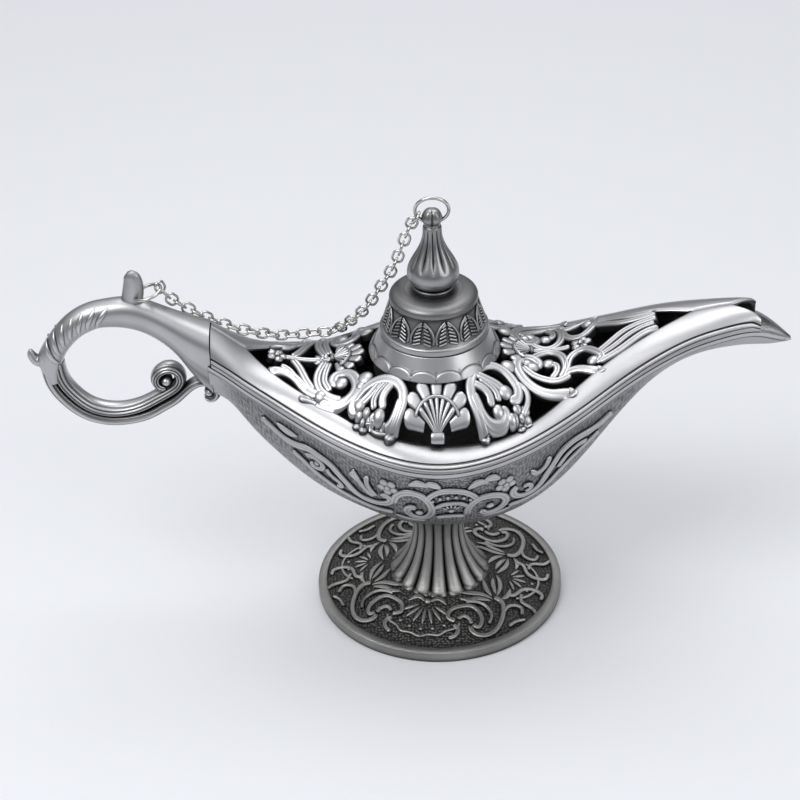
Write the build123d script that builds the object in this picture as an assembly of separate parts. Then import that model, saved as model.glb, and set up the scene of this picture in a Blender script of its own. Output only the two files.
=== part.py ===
from build123d import *

import os
from math import atan2, ceil, cos, pi, radians, sin, sqrt

# A genie oil lamp in cast grey metal. A boat-shaped bowl with a spout stands on a fluted foot. A pierced cover
# with a round collar closes the bowl, a domed lid with a lobed finial drops into the collar, a scrolled handle
# grows out of the stern, and a link chain runs from the finial to the horn on the handle.
# Millimetres, +Z up, +X towards the spout, origin at the centre of the foot's underside.

os.makedirs("parts", exist_ok=True)

# The hull, which the bowl and the cover share: the seam between them is its widest line
half_beam = 35.2
seam_height = 64.8
hull_depth = 34.2
spout_reach = 98.0
stern_reach = 62.0
spout_seam_rise = 24.0
stern_seam_rise = 18.6
cover_rise = 9.2
vault_rise = 17.4
bowl_wall = 1.8
seam_gap = 0.12
vault_gap = 0.3
thin_wall_share = 0.4

# Stations along the hull, from the handle to amidships and on to the tip of the spout, each as shares of
# the reach, the half beam, the rise of the seam, the depth, the cover's rise, the half beam again for the
# opening's edge, and the vault's rise
stern_station_shares = [
    (1.000, 0.216, 1.000, 0.363, 0.989, 0.000, 0.00),
    (0.919, 0.264, 0.849, 0.380, 0.891, 0.000, 0.00),
    (0.839, 0.330, 0.699, 0.509, 0.761, 0.000, 0.00),
    (0.742, 0.412, 0.543, 0.646, 0.772, 0.160, 0.05),
    (0.629, 0.517, 0.376, 0.769, 0.935, 0.315, 0.10),
    (0.484, 0.670, 0.215, 0.871, 1.022, 0.472, 0.24),
    (0.323, 0.830, 0.097, 0.936, 1.043, 0.653, 0.55),
    (0.161, 0.949, 0.027, 0.988, 0.902, 0.750, 0.88),
]
spout_station_shares = [
    (0.000, 1.000, 0.000, 1.000, 0.717, 0.778, 1.00),
    (0.102, 0.983, 0.033, 1.018, 0.587, 0.767, 0.95),
    (0.204, 0.903, 0.104, 0.997, 0.598, 0.710, 0.67),
    (0.306, 0.778, 0.217, 0.918, 0.804, 0.591, 0.32),
    (0.408, 0.631, 0.379, 0.734, 0.989, 0.426, 0.12),
    (0.510, 0.494, 0.588, 0.474, 0.902, 0.273, 0.07),
    (0.612, 0.395, 0.792, 0.257, 0.739, 0.148, 0.04),
    (0.714, 0.312, 0.942, 0.193, 0.587, 0.000, 0.00),
    (0.806, 0.239, 1.000, 0.199, 0.609, 0.000, 0.00),
    (0.903, 0.170, 0.992, 0.190, 0.696, 0.000, 0.00),
    (0.954, 0.111, 0.892, 0.120, 0.957, 0.000, 0.00),
    (1.000, 0.020, 0.767, 0.026, 1.283, 0.000, 0.00),
]
opening_stern_tip_share = 0.839
opening_spout_tip_share = 0.721

# The cover's pattern: the middle lines of its ribbons, the balls in its scrolls and its flowers, each as a share
# of the width or radius, then places as shares of the length to the opening's tip and of its half width
bow_ribbon_shares = [
    (1.0, [(0.192, 1.044), (0.173, 0.935), (0.157, 0.851), (0.139, 0.763), (0.130, 0.643), (0.140, 0.526),
        (0.174, 0.416), (0.217, 0.369), (0.262, 0.402), (0.296, 0.500), (0.313, 0.606), (0.303, 0.690),
        (0.275, 0.694)]),
    (0.95, [(0.133, 0.679), (0.156, 0.767), (0.174, 0.851), (0.200, 0.898), (0.232, 0.902), (0.259, 0.862),
        (0.260, 0.811), (0.241, 0.800)]),
    (0.9, [(0.136, 0.606), (0.178, 0.643), (0.201, 0.701), (0.207, 0.781)]),
    (0.9, [(0.150, 0.504), (0.190, 0.540), (0.229, 0.577), (0.260, 0.635)]),
    (0.7, [(0.303, 0.519), (0.334, 0.562), (0.348, 0.683), (0.320, 0.818)]),
    (1.1, [(0.543, 0.679), (0.504, 0.635), (0.453, 0.628), (0.393, 0.577), (0.345, 0.475), (0.318, 0.347),
        (0.320, 0.223), (0.344, 0.142), (0.379, 0.142), (0.399, 0.226), (0.379, 0.278)]),
    (0.85, [(0.521, 0.424), (0.473, 0.471), (0.423, 0.445), (0.376, 0.387), (0.328, 0.270)]),
    (0.85, [(0.374, 0.153), (0.405, 0.058), (0.444, 0.022), (0.484, 0.095), (0.502, 0.226), (0.501, 0.351),
        (0.478, 0.460)]),
    (0.8, [(0.439, 0.219), (0.467, 0.263), (0.467, 0.358), (0.442, 0.445)]),
    (0.9, [(0.504, 0.387), (0.512, 0.263), (0.534, 0.161), (0.575, 0.121), (0.617, 0.212), (0.640, 0.336),
        (0.614, 0.372)]),
    (0.9, [(0.498, 0.387), (0.543, 0.380), (0.592, 0.435), (0.657, 0.497)]),
    (0.8, [(0.626, 0.256), (0.679, 0.168), (0.727, 0.088), (0.787, 0.044), (0.860, 0.026)]),
    (0.8, [(0.628, 0.372), (0.699, 0.321), (0.764, 0.234), (0.817, 0.179), (0.869, 0.161)]),
    (0.9, [(0.368, 0.000), (0.467, 0.000), (0.566, 0.000), (0.623, 0.000)]),
]
bow_ball_shares = [
    (0.9, 0.262, 0.639), (0.72, 0.234, 0.818), (0.62, 0.284, 0.854), (0.98, 0.282, 0.325),
    (0.85, 0.376, 0.270), (0.78, 0.439, 0.223), (0.72, 0.607, 0.336), (0.7, 0.357, 0.226),
]
bow_flower_shares = [
    (1.0, 0.324, 0.833), (0.92, 0.570, 0.000),
]
stern_ribbon_shares = [
    (1.0, [(0.265, 1.052), (0.231, 0.935), (0.198, 0.847), (0.173, 0.752), (0.179, 0.650), (0.219, 0.559),
        (0.283, 0.508), (0.361, 0.537), (0.413, 0.617), (0.434, 0.701), (0.404, 0.738)]),
    (0.95, [(0.179, 0.730), (0.208, 0.840), (0.242, 0.906), (0.286, 0.920), (0.327, 0.884), (0.333, 0.833),
        (0.308, 0.818)]),
    (0.9, [(0.215, 0.577), (0.261, 0.643), (0.279, 0.716), (0.273, 0.781)]),
    (0.9, [(0.281, 0.526), (0.327, 0.606), (0.365, 0.657), (0.400, 0.686)]),
    (1.1, [(0.723, 0.533), (0.665, 0.533), (0.607, 0.562), (0.536, 0.613), (0.458, 0.606), (0.415, 0.526),
        (0.421, 0.391), (0.471, 0.281), (0.523, 0.292), (0.534, 0.372), (0.500, 0.409)]),
    (0.9, [(0.492, 0.599), (0.557, 0.533), (0.607, 0.438), (0.623, 0.307), (0.607, 0.168), (0.581, 0.037)]),
    (0.9, [(0.611, 0.497), (0.684, 0.416), (0.750, 0.278), (0.819, 0.226), (0.892, 0.248)]),
    (0.9, [(0.642, 0.453), (0.684, 0.307), (0.715, 0.161), (0.757, 0.000)]),
    (0.9, [(0.538, 0.000), (0.654, 0.000), (0.750, 0.000), (0.846, 0.000)]),
]
stern_ball_shares = [
    (0.72, 0.398, 0.690), (0.72, 0.300, 0.829), (0.98, 0.369, 0.431), (0.85, 0.494, 0.402),
    (0.8, 0.604, 0.508), (0.62, 0.390, 0.508),
]
stern_flower_shares = [
    (0.9, 0.384, 0.825), (0.92, 0.838, 0.000), (0.92, 0.596, 0.000),
]

# The cover's rim, its pierced vault and its collar
rim_thickness = 1.6
vault_thickness = 2.2
stern_gap = 0.9
notch_depth = 7.6
notch_half_width = 5.9
cover_end_share = 0.903
ribbon_width = 2.3
ball_radius = 2.4
flower_radius = 3.2
petals_each = 5
petal_ring_share = 0.62
petal_share = 0.42
shell_radius = 10.6
small_shell_share = 0.887
bow_shell_share = 0.376
stern_shell_share = 0.542
shell_web_share = 0.62
shell_tip_share = 0.18
shell_first_lobe = 30.0
shell_lobe_step = 20.0
shell_lobe_shares = [0.62, 0.80, 0.94, 1.0, 0.94, 0.80, 0.62]
smallest_space = 0.12
collar_skirt_radius = 17.2
collar_skirt_drop = 6.2
collar_skirt_wall = 2.0
flange_radius = 18.3
flange_thickness = 1.4
flange_height = 83.1
collar_height = 89.0
collar_top_radius = 14.9
collar_bore_radius = 13.7
scallops = 16

# The lid and its finial
lid_gap = 0.1
spigot_clearance = 0.25
spigot_depth = 2.6
spigot_wall = 1.3
lid_lip_radius = 15.0
lid_lip_height = 1.7
dome_height = 9.4
dome_top_radius = 11.6
disc_radius = 12.1
disc_height = 3.6
dome_wall = 1.6
bead_radius = 5.5
bead_height = 1.4
bulb_radius = 7.1
bulb_height = 17.4
finial_head_radius = 2.6
finial_head_height = 5.6
finial_lobes = 12
lobe_bulge_share = 0.1

# The foot and the screw that holds it to the bowl
foot_radius = 36.0
foot_rim_height = 3.4
foot_rim_width = 2.4
foot_recess_drop = 0.8
foot_shell = 2.2
stem_foot_radius = 15.0
stem_foot_height = 6.2
stem_top_radius = 9.0
stem_top_height = 30.0
flutes = 16
flute_bulge_share = 0.07
screw_radius = 2.0
screw_head_radius = 3.6
screw_head_height = 2.2
screw_reach = 4.6
screw_clearance = 0.25
pad_inset = 1.2
pad_thickness = 1.0
washer_radius = 4.4
washer_thickness = 0.8
boss_radius = 5.2

# The handle: a thick neck and arch, then two grooved strands that end in volutes
handle_span = 50.0
handle_low = 60.6
handle_rise = 40.7
arch_radius = 3.8
strand_half_width = 3.0
inner_strand = 2.1
outer_strand = 1.8
volute_ball = 1.9
horn_half_width = 1.6
horn_radius = 2.7
leaf_radius = 2.2

# The chain and its two jump rings
link_length = 4.7
link_width = 3.5
link_wire = 0.7
link_play = 0.12
ring_wire = 0.95
finial_ring_radius = 4.5
horn_ring_radius = 3.8
finial_hole_radius = 1.05
horn_hole_radius = 1.0
ring_lean = 17.0
finial_catch_turn = 30.0
horn_catch_turn = 35.0
split_play = 0.7

overrun = 2.0


def hull_stations():
    """Lists (x, half width, seam height, depth, cover rise, opening half width, vault rise) from stern to spout."""
    rows = []
    for shares, reach, rise in (
        (stern_station_shares, -stern_reach, stern_seam_rise),
        (spout_station_shares, spout_reach, spout_seam_rise),
    ):
        for x, width, seam, depth, crown, opening, vault in shares:
            rows.append((
                x * reach, width * half_beam, seam_height + seam * rise, depth * hull_depth,
                crown * cover_rise, opening * half_beam, vault * vault_rise,
            ))
    return rows


stations = hull_stations()


def hull_section(x, half_width, base, height, lift=0.0):
    """Closes half an ellipse in the YZ plane at x: up from the base for a height above zero, down below zero."""
    steps = 8
    arc = [
        (x, half_width * cos(pi * i / steps), base + height * sin(pi * i / steps)) for i in range(steps + 1)
    ]
    side = 1 if height > 0 else -1
    curve = Edge.make_spline(
        [Vector(*p) for p in arc], tangents=[Vector(0, 0, side), Vector(0, 0, -side)],
        parameters=[i / steps for i in range(steps + 1)],
    )
    if not lift:
        return Wire([curve, Edge.make_line(arc[-1], arc[0])])
    left, right = (x, -half_width, base - side * lift), (x, half_width, base - side * lift)
    return Wire([curve, Edge.make_line(arc[-1], left), Edge.make_line(left, right), Edge.make_line(right, arc[0])])


def hull(rows):
    """Lofts one smooth body through sections given as (x, half width, base, height, lift)."""
    return Solid.make_loft([hull_section(*row) for row in rows])


def turned(points, closed=True):
    """Revolves a profile of (radius, height) points about the lamp's axis."""
    with BuildPart() as body:
        with BuildSketch(Plane.XZ):
            with BuildLine():
                Polyline(*points, close=closed)
            make_face()
        revolve(axis=Axis.Z)
    return body.part


def lobed_section(radius, height, lobes, bulge):
    """Draws a ring of shallow arcs that meet in cusps, as on a fluted column."""
    edges = []
    low = radius * (1 - bulge)
    for i in range(lobes):
        a, b, c = (2 * pi * (i + k) / lobes for k in (0, 0.5, 1))
        edges.append(Edge.make_three_point_arc(
            (low * cos(a), low * sin(a), height), (radius * cos(b), radius * sin(b), height),
            (low * cos(c), low * sin(c), height),
        ))
    return Wire(edges)


# Bowl: the lower hull less its inside, with a boss that takes the foot's screw
bowl_outer = hull([(x, w, seam, -depth) for x, w, seam, depth, *_ in stations])
inner_rows = []
for x, w, seam, depth, *_ in stations[2:]:
    wall = min(bowl_wall, thin_wall_share * w, thin_wall_share * depth)
    inner_rows.append((x, w - wall, seam, -(depth - wall), overrun))
bowl = Part() + bowl_outer - hull(inner_rows)
keel_height = seam_height - hull_depth
boss_top = keel_height + bowl_wall + screw_reach
bowl += Pos(0, 0, stem_top_height) * Cylinder(
    stem_top_radius, keel_height - stem_top_height + bowl_wall, align=(Align.CENTER, Align.CENTER, Align.MIN)
)
bowl += Pos(0, 0, keel_height) * Cylinder(
    boss_radius, boss_top - keel_height, align=(Align.CENTER, Align.CENTER, Align.MIN)
)
bowl -= Pos(0, 0, stem_top_height) * Cylinder(
    screw_radius, keel_height + screw_reach - stem_top_height, align=(Align.CENTER, Align.CENTER, Align.MIN)
)

# Foot: a shell with a rim, a sunk face and a stem of convex flutes
recess = foot_rim_height - foot_recess_drop
foot = turned([
    (0, recess), (0, stem_foot_height), (stem_foot_radius, stem_foot_height),
    (foot_radius - 2 * foot_rim_width, recess), (foot_radius - foot_rim_width, recess),
    (foot_radius - foot_rim_width, foot_rim_height), (foot_radius - foot_rim_width / 4, foot_rim_height),
    (foot_radius, foot_rim_height - foot_rim_width / 4), (foot_radius, 0), (foot_radius - foot_rim_width, 0), (0, 0),
])
stem_span = stem_top_height - stem_foot_height
stem_shares = [(0, 0.97), (0.12, 0.86), (0.3, 0.68), (0.55, 0.535), (0.76, 0.493), (0.9, 0.52), (1.0, 0.585)]
foot += Solid.make_loft([
    lobed_section(share * stem_foot_radius, stem_foot_height + level * stem_span, flutes, flute_bulge_share)
    for level, share in stem_shares
])
web_height = stem_foot_height + stem_span / 2
foot -= turned([
    (0, 0), (foot_radius - 2 * foot_rim_width, 0), (foot_radius - 3 * foot_rim_width, recess - foot_shell / 2),
    (stem_foot_radius, stem_foot_height - foot_shell), (stem_foot_radius - 2 * foot_shell, stem_foot_height),
    (washer_radius + screw_clearance, web_height - foot_shell), (washer_radius + screw_clearance, web_height),
    (0, web_height),
])
foot -= Pos(0, 0, web_height) * Cylinder(
    screw_radius + screw_clearance, stem_span, align=(Align.CENTER, Align.CENTER, Align.MIN)
)

foot -= Cylinder(
    foot_radius - pad_inset, pad_thickness, align=(Align.CENTER, Align.CENTER, Align.MIN)
)
pad = Cylinder(
    foot_radius - pad_inset - screw_clearance, pad_thickness, align=(Align.CENTER, Align.CENTER, Align.MIN)
)

# Foot screw and its washer, up inside the stem
washer = Pos(0, 0, web_height - washer_thickness) * (
    Cylinder(washer_radius, washer_thickness, align=(Align.CENTER, Align.CENTER, Align.MIN))
    - Cylinder(screw_radius + screw_clearance, washer_thickness, align=(Align.CENTER, Align.CENTER, Align.MIN))
)
head_top = web_height - washer_thickness
screw = Pos(0, 0, head_top) * Cylinder(
    screw_radius, keel_height + screw_reach / 2 - head_top, align=(Align.CENTER, Align.CENTER, Align.MIN)
)
screw += Pos(0, 0, head_top - screw_head_height) * Cylinder(
    screw_head_radius, screw_head_height, align=(Align.CENTER, Align.CENTER, Align.MIN)
)
screw -= Pos(0, 0, head_top - screw_head_height) * Box(
    2 * screw_head_radius, screw_head_height / 3, screw_head_height, align=(Align.CENTER, Align.CENTER, Align.CENTER)
)


def opening_points():
    """Lists the opening's edge on one side in plan, from its stern tip to its spout tip."""
    points = [(-opening_stern_tip_share * stern_reach, 0)]
    points += [(x, opening) for x, *_, opening, _ in stations if opening]
    return points + [(opening_spout_tip_share * spout_reach, 0)]


edge_points = opening_points()
opening = make_face(Curve() + [Spline(*edge_points), Spline(*[(x, -y) for x, y in edge_points])])
opening_top = seam_height + spout_seam_rise + 2 * cover_rise

# Cover rim: the upper hull as a shell, open in the middle, with a swallow-tail end over the spout
cover_end = cover_end_share * spout_reach
rim = Part() + hull([(x, w, seam + seam_gap, crown) for x, w, seam, _, crown, *_ in stations])
rim -= hull([
    (x, w - min(rim_thickness, thin_wall_share * w), seam + seam_gap, crown - rim_thickness, overrun)
    for x, w, seam, _, crown, *_ in stations
])
rim -= Pos(cover_end, 0, 0) * Box(
    spout_reach, 2 * half_beam, opening_top + cover_rise, align=(Align.MIN, Align.CENTER, Align.MIN)
)
rim -= extrude(opening, amount=opening_top, dir=(0, 0, 1))
notch = make_face(Polyline(
    (cover_end - notch_depth, 0), (cover_end + overrun, notch_half_width), (cover_end + overrun, -notch_half_width),
    close=True,
))
rim -= extrude(notch, amount=opening_top, dir=(0, 0, 1))
stern_top = seam_height + stern_seam_rise + cover_rise
gap_wedge = Plane.XZ * make_face(Polyline(
    (-stern_reach - overrun, seam_height), (-stern_reach, seam_height + stern_seam_rise),
    (-stern_reach + stern_gap, stern_top + overrun), (-stern_reach - overrun, stern_top + overrun), close=True,
))
rim -= extrude(gap_wedge, amount=half_beam, both=True)

# Collar: a skirt that carries the vault's ribbons, a scalloped flange and a cone with the lid's seat
skirt_foot = flange_height - collar_skirt_drop
collar = turned([
    (collar_skirt_radius, skirt_foot), (collar_skirt_radius, flange_height),
    (collar_skirt_radius, flange_height + flange_thickness), (collar_top_radius, collar_height),
    (collar_bore_radius, collar_height), (collar_bore_radius, flange_height),
    (collar_skirt_radius - collar_skirt_wall, flange_height - collar_skirt_wall),
    (collar_skirt_radius - collar_skirt_wall, skirt_foot),
])
flange = Solid.make_loft([
    lobed_section(flange_radius, flange_height, scallops, flute_bulge_share / 2),
    lobed_section(flange_radius - flange_thickness / 4, flange_height + flange_thickness, scallops,
                  flute_bulge_share / 2),
])
collar += flange - Pos(0, 0, flange_height) * Cylinder(
    collar_bore_radius, flange_thickness, align=(Align.CENTER, Align.CENTER, Align.MIN)
)


def ribbon(width_share, points):
    """Draws one strip along a smooth line, its width a share of the ribbons'."""
    return trace(Spline(*points), line_width=width_share * ribbon_width)


def flower(x, y, radius):
    """Draws five round petals about a centre."""
    petals = Pos(x, y) * Circle(radius * petal_ring_share)
    for i in range(petals_each):
        a = 2 * pi * i / petals_each + pi / 2
        petals += Pos(x + radius * petal_ring_share * cos(a), y + radius * petal_ring_share * sin(a)) * Circle(
            radius * petal_share
        )
    return petals


def shell_fan(radius):
    """Draws the seven-lobed shell, its foot at the origin and its middle lobe along +Y."""
    fan = Circle(radius * shell_web_share)
    for i, share in enumerate(shell_lobe_shares):
        a = radians(shell_first_lobe + shell_lobe_step * i)
        tip = (radius * share * cos(a), radius * share * sin(a))
        fan += trace(Line((0, 0), tip), line_width=ribbon_width) + Pos(*tip) * Circle(radius * shell_tip_share)
    return fan


def filigree_side(length, ribbons, balls, flowers):
    """Draws the near quarter of the pattern that runs from the collar to one tip of the opening."""

    def at(across, out):
        return across * length, -out * half_opening

    side = Sketch()
    for width_share, shares in ribbons:
        side += ribbon(width_share, [at(*share) for share in shares])
    for size, across, out in balls:
        side += Pos(*at(across, out)) * Circle(size * ball_radius)
    for size, across, out in flowers:
        side += flower(*at(across, out), size * flower_radius)
    return side


# Filigree: mirrored scrolls, flowers, leaves and shells, left standing when the spaces between them are cut
half_opening = stations[8][5]
bow_tip, stern_tip = edge_points[-1][0], edge_points[0][0]
half_pattern = filigree_side(bow_tip, bow_ribbon_shares, bow_ball_shares, bow_flower_shares)
half_pattern += filigree_side(stern_tip, stern_ribbon_shares, stern_ball_shares, stern_flower_shares)
half_pattern += Pos(0, -half_opening) * shell_fan(shell_radius)
half_pattern += Pos(bow_shell_share * bow_tip, 0) * Rot(0, 0, 90) * shell_fan(small_shell_share * shell_radius)
half_pattern += Pos(stern_shell_share * stern_tip, 0) * Rot(0, 0, -90) * shell_fan(small_shell_share * shell_radius)
pattern = half_pattern + mirror(half_pattern, about=Plane.XZ)


def arch_height(row):
    """Gives the height of the rim's surface at the opening's edge."""
    _, w, seam, _, crown, edge, _ = row
    return seam + seam_gap + crown * sqrt(1 - (edge / w) ** 2)


vault_rows = [row for row in stations if row[5]]
vault = Part() + hull([
    (r[0], r[5] - vault_gap, arch_height(r) - rim_thickness, rim_thickness + r[6]) for r in vault_rows
])
vault -= hull([
    (r[0], r[5] - min(vault_thickness, thin_wall_share * r[5]), arch_height(r) - rim_thickness,
     rim_thickness + r[6] - min(vault_thickness, rim_thickness), overrun)
    for r in vault_rows
])
far_half = Box(3 * spout_reach, 2 * half_beam, opening_top, align=(Align.CENTER, Align.MIN, Align.MIN))
spaces = Rectangle(3 * spout_reach, 4 * half_beam) - (pattern & opening) + Circle(collar_skirt_radius)
gaps = [extrude(f, amount=opening_top, dir=(0, 0, 1)) for f in spaces.faces() if f.area > smallest_space]
filigree = (vault & far_half) - [gap for gap in gaps if gap.bounding_box().max.Y > seam_gap]
filigree -= Pos(0, 0, flange_height) * Cylinder(
    flange_radius, cover_rise, align=(Align.CENTER, Align.CENTER, Align.MIN)
)
filigree += mirror(filigree, about=Plane.XZ)

# Lid: a domed shell with a spigot, a rounded disc and a lobed finial with a pierced head, in one casting
lip_foot = collar_height + lid_gap
dome_top = lip_foot + dome_height
disc_top = dome_top + disc_height
bulb_foot = disc_top + bead_height
head_foot = bulb_foot + bulb_height
head_top_height = head_foot + finial_head_height
spigot_radius = collar_bore_radius - spigot_clearance
groove = (disc_radius - dome_top_radius) / 2
lid = turned([
    (0, dome_top - dome_wall), (dome_top_radius - 2 * dome_wall, dome_top - dome_wall),
    (spigot_radius - spigot_wall, lip_foot + lid_lip_height), (spigot_radius - spigot_wall, lip_foot - spigot_depth),
    (spigot_radius, lip_foot - spigot_depth), (spigot_radius, lip_foot), (lid_lip_radius, lip_foot),
    (lid_lip_radius, lip_foot + lid_lip_height / 2), (lid_lip_radius - groove, lip_foot + lid_lip_height),
    (lid_lip_radius - 2 * groove, lip_foot + lid_lip_height * 1.5),
    ((lid_lip_radius + dome_top_radius) / 2 + groove, lip_foot + dome_height * 0.6), (dome_top_radius, dome_top),
    (dome_top_radius - groove, dome_top + groove), (disc_radius, dome_top + disc_height * 0.35),
    (disc_radius, dome_top + disc_height * 0.65), (disc_radius - disc_height / 4, disc_top - disc_height / 12),
    (bead_radius * 1.2, disc_top), (bead_radius, disc_top + bead_height / 2), (bead_radius * 0.9, bulb_foot),
    (0, bulb_foot),
])
bulb_shares = [(0, 0.72), (0.12, 0.92), (0.3, 1.0), (0.48, 0.88), (0.65, 0.62), (0.82, 0.44), (1.0, 0.4)]
lid += Solid.make_loft([
    lobed_section(share * bulb_radius, bulb_foot + level * bulb_height, finial_lobes, lobe_bulge_share)
    for level, share in bulb_shares
])
lid += Pos(0, 0, head_foot) * Cylinder(
    finial_head_radius, finial_head_height, align=(Align.CENTER, Align.CENTER, Align.MIN)
)
finial_hole = Vector(0, 0, head_foot + finial_hole_radius * 1.7)
lid -= Pos(*finial_hole) * Rot(0, 90, 0) * Cylinder(finial_hole_radius, 4 * finial_head_radius)


def on_handle(out, up):
    """Turns shares of the handle's span and rise into a place in the middle plane."""
    return Vector(-stern_reach - out * handle_span, 0, handle_low + up * handle_rise)


def egg(centre, tilt, half_width, up, down):
    """Draws a cross-section at a centre whose upward direction leans tilt degrees towards the handle."""
    steps = 8
    rise = Vector(-sin(radians(tilt)), 0, cos(radians(tilt)))
    edges = []
    for height, side in ((up, 1), (down, -1)):
        arc = []
        for i in range(steps + 1):
            turn = pi * i / steps
            arc.append(centre + Vector(0, side * half_width * cos(turn), 0) + rise * (side * height * sin(turn)))
        edges.append(Edge.make_spline(
            arc, tangents=[rise * side, rise * -side], parameters=[i / steps for i in range(steps + 1)]
        ))
    return Wire(edges)


# Handle: neck and arch in one loft that starts as the hull's own section at the stern
stern = stations[0]
neck_sections = [egg(Vector(stern[0], 0, stern[2]), 0, stern[1], stern[4], stern[3])]
neck_shares = [
    (0.108, 0.650, 4, 0.82, 0.90, 0.81), (0.206, 0.757, 9, 0.66, 0.71, 0.58), (0.336, 0.857, 9, 0.55, 0.58, 0.43),
]
neck_sections += [
    egg(on_handle(out, up), tilt, width * stern[1], above * stern[4], below * stern[3])
    for out, up, tilt, width, above, below in neck_shares
]
arch_shares = [
    (0.520, 0.897, 0, 1.0, 1.08), (0.738, 0.794, 38, 0.97, 0.95), (0.860, 0.607, 68, 0.95, 0.9),
    (0.880, 0.477, 90, 0.9, 0.87),
]
neck_sections += [
    egg(on_handle(out, up), tilt, width * arch_radius, thick * arch_radius, thick * arch_radius)
    for out, up, tilt, width, thick in arch_shares
]
handle = Part() + Solid.make_loft(neck_sections)


def strand(shares, thickness):
    """Sweeps a flattened strand along arcs that follow one another smoothly, starting straight down."""
    points = [on_handle(*share) for share in shares]
    edges, heading = [], Vector(0, 0, -1)
    for start, end in zip(points, points[1:]):
        edges.append(Edge.make_tangent_arc(start, heading, end))
        heading = edges[-1].tangent_at(1)
    section = Plane(points[0], x_dir=(0, 1, 0), z_dir=(0, 0, -1)) * Ellipse(strand_half_width, thickness)
    return sweep(sections=section, path=Wire(edges))


inner_shares = [
    (0.844, 0.526), (0.772, 0.265), (0.580, 0.123), (0.380, 0.172), (0.225, 0.285), (0.170, 0.364), (0.236, 0.446),
    (0.308, 0.372),
]
outer_shares = [
    (0.914, 0.526), (0.826, 0.221), (0.580, 0.044), (0.360, 0.091), (0.210, 0.201), (0.132, 0.295), (0.052, 0.344),
    (-0.020, 0.278), (0.020, 0.204),
]
handle += strand(inner_shares, inner_strand)
handle += strand(outer_shares, outer_strand)
handle += Pos(*on_handle(0.260, 0.334)) * Sphere(volute_ball)
handle += Pos(*on_handle(0.026, 0.240)) * Sphere(volute_ball)
horn_shares = [(0.390, 0.92, 90, 1.0), (0.392, 1.04, 88, 0.9), (0.376, 1.12, 80, 0.88), (0.362, 1.185, 70, 0.5)]
handle += Solid.make_loft([
    egg(on_handle(out, up), tilt, horn_half_width * (size + 1) / 2, size * horn_radius, size * horn_radius)
    for out, up, tilt, size in horn_shares
])
leaf_shares = [(0.86, 0.60, 20, 1.2), (0.93, 0.53, 10, 0.9), (0.97, 0.56, -30, 0.72), (0.99, 0.61, -60, 0.5)]
handle += Solid.make_loft([
    egg(on_handle(out, up), tilt, leaf_radius * size, leaf_radius * size, leaf_radius * size)
    for out, up, tilt, size in leaf_shares
])
horn_hole = on_handle(0.374, 1.018)
handle -= Pos(*horn_hole) * Rot(90, 0, 0) * Cylinder(horn_hole_radius, 4 * horn_half_width)
handle -= bowl_outer


def ring(centre, normal, radius):
    """Bends a jump ring of the rings' wire about its centre."""
    return Plane(centre, z_dir=normal) * Torus(radius, ring_wire / 2)


# Jump rings: one stands on the finial's hole and leans forward, one lies back from the horn's hole
hang = finial_ring_radius - (finial_hole_radius - ring_wire / 2) * 0.8
lean = radians(ring_lean)
finial_ring_up = Vector(0, -sin(lean), cos(lean))
finial_ring_centre = finial_hole + finial_ring_up * hang
finial_ring_normal = Vector(0, cos(lean), sin(lean))
finial_ring = ring(finial_ring_centre, finial_ring_normal, finial_ring_radius)
horn_ring_out = Vector(cos(lean), 0, sin(lean))
horn_ring_centre = horn_hole + horn_ring_out * (horn_ring_radius - (horn_hole_radius - ring_wire / 2) * 0.6)
horn_ring = ring(horn_ring_centre, Vector(-sin(lean), 0, cos(lean)), horn_ring_radius)

# Chain: oval links along a route that hangs from the finial, rests on the far side of the cover and neck, and
# climbs to the horn. Route points are shares of the span to the horn, the half beam, and the drop to the rim.
catch_turn = radians(finial_catch_turn)
finial_catch = finial_ring_centre + (
    Vector(-cos(catch_turn), 0, 0) - finial_ring_up * sin(catch_turn)
) * finial_ring_radius
horn_turn = radians(horn_catch_turn)
horn_catch = horn_ring_centre + (
    horn_ring_out * cos(horn_turn) + Vector(0, sin(horn_turn), 0)
) * horn_ring_radius
chain_span = -horn_catch.X
chain_fall = finial_catch.Z - seam_height
route_shares = [
    (0.076, 0.050, 0.062), (0.113, 0.094, 0.195), (0.152, 0.154, 0.330), (0.203, 0.216, 0.455),
    (0.254, 0.287, 0.575), (0.320, 0.400, 0.690), (0.397, 0.517, 0.780), (0.490, 0.530, 0.795),
    (0.572, 0.474, 0.780), (0.640, 0.409, 0.745), (0.710, 0.345, 0.700), (0.785, 0.290, 0.645),
    (0.858, 0.222, 0.570), (0.925, 0.170, 0.495), (0.978, 0.110, 0.415),
]
route_points = [finial_catch]
route_points += [
    Vector(-x * chain_span, y * half_beam, finial_catch.Z - z * chain_fall) for x, y, z in route_shares
]
route = Spline(*route_points, horn_catch)
link_split_share = 0.44
end_hold = link_length / 2 - link_wire - ring_wire / 2 - 2 * link_play
link_pitch = link_length - 2 * link_wire - link_play
between = route.length - 2 * end_hold - (link_pitch - split_play)
link_count = ceil(between / link_pitch) + 2
step = between / (link_count - 2)
split = round(link_split_share * link_count)


def link_place(i):
    """Gives a link's distance along the route, one pair standing closer where the chain's two halves meet."""
    gaps = i if i < split else i - 1
    return end_hold + gaps * step + (0 if i < split else link_pitch - split_play)


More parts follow.
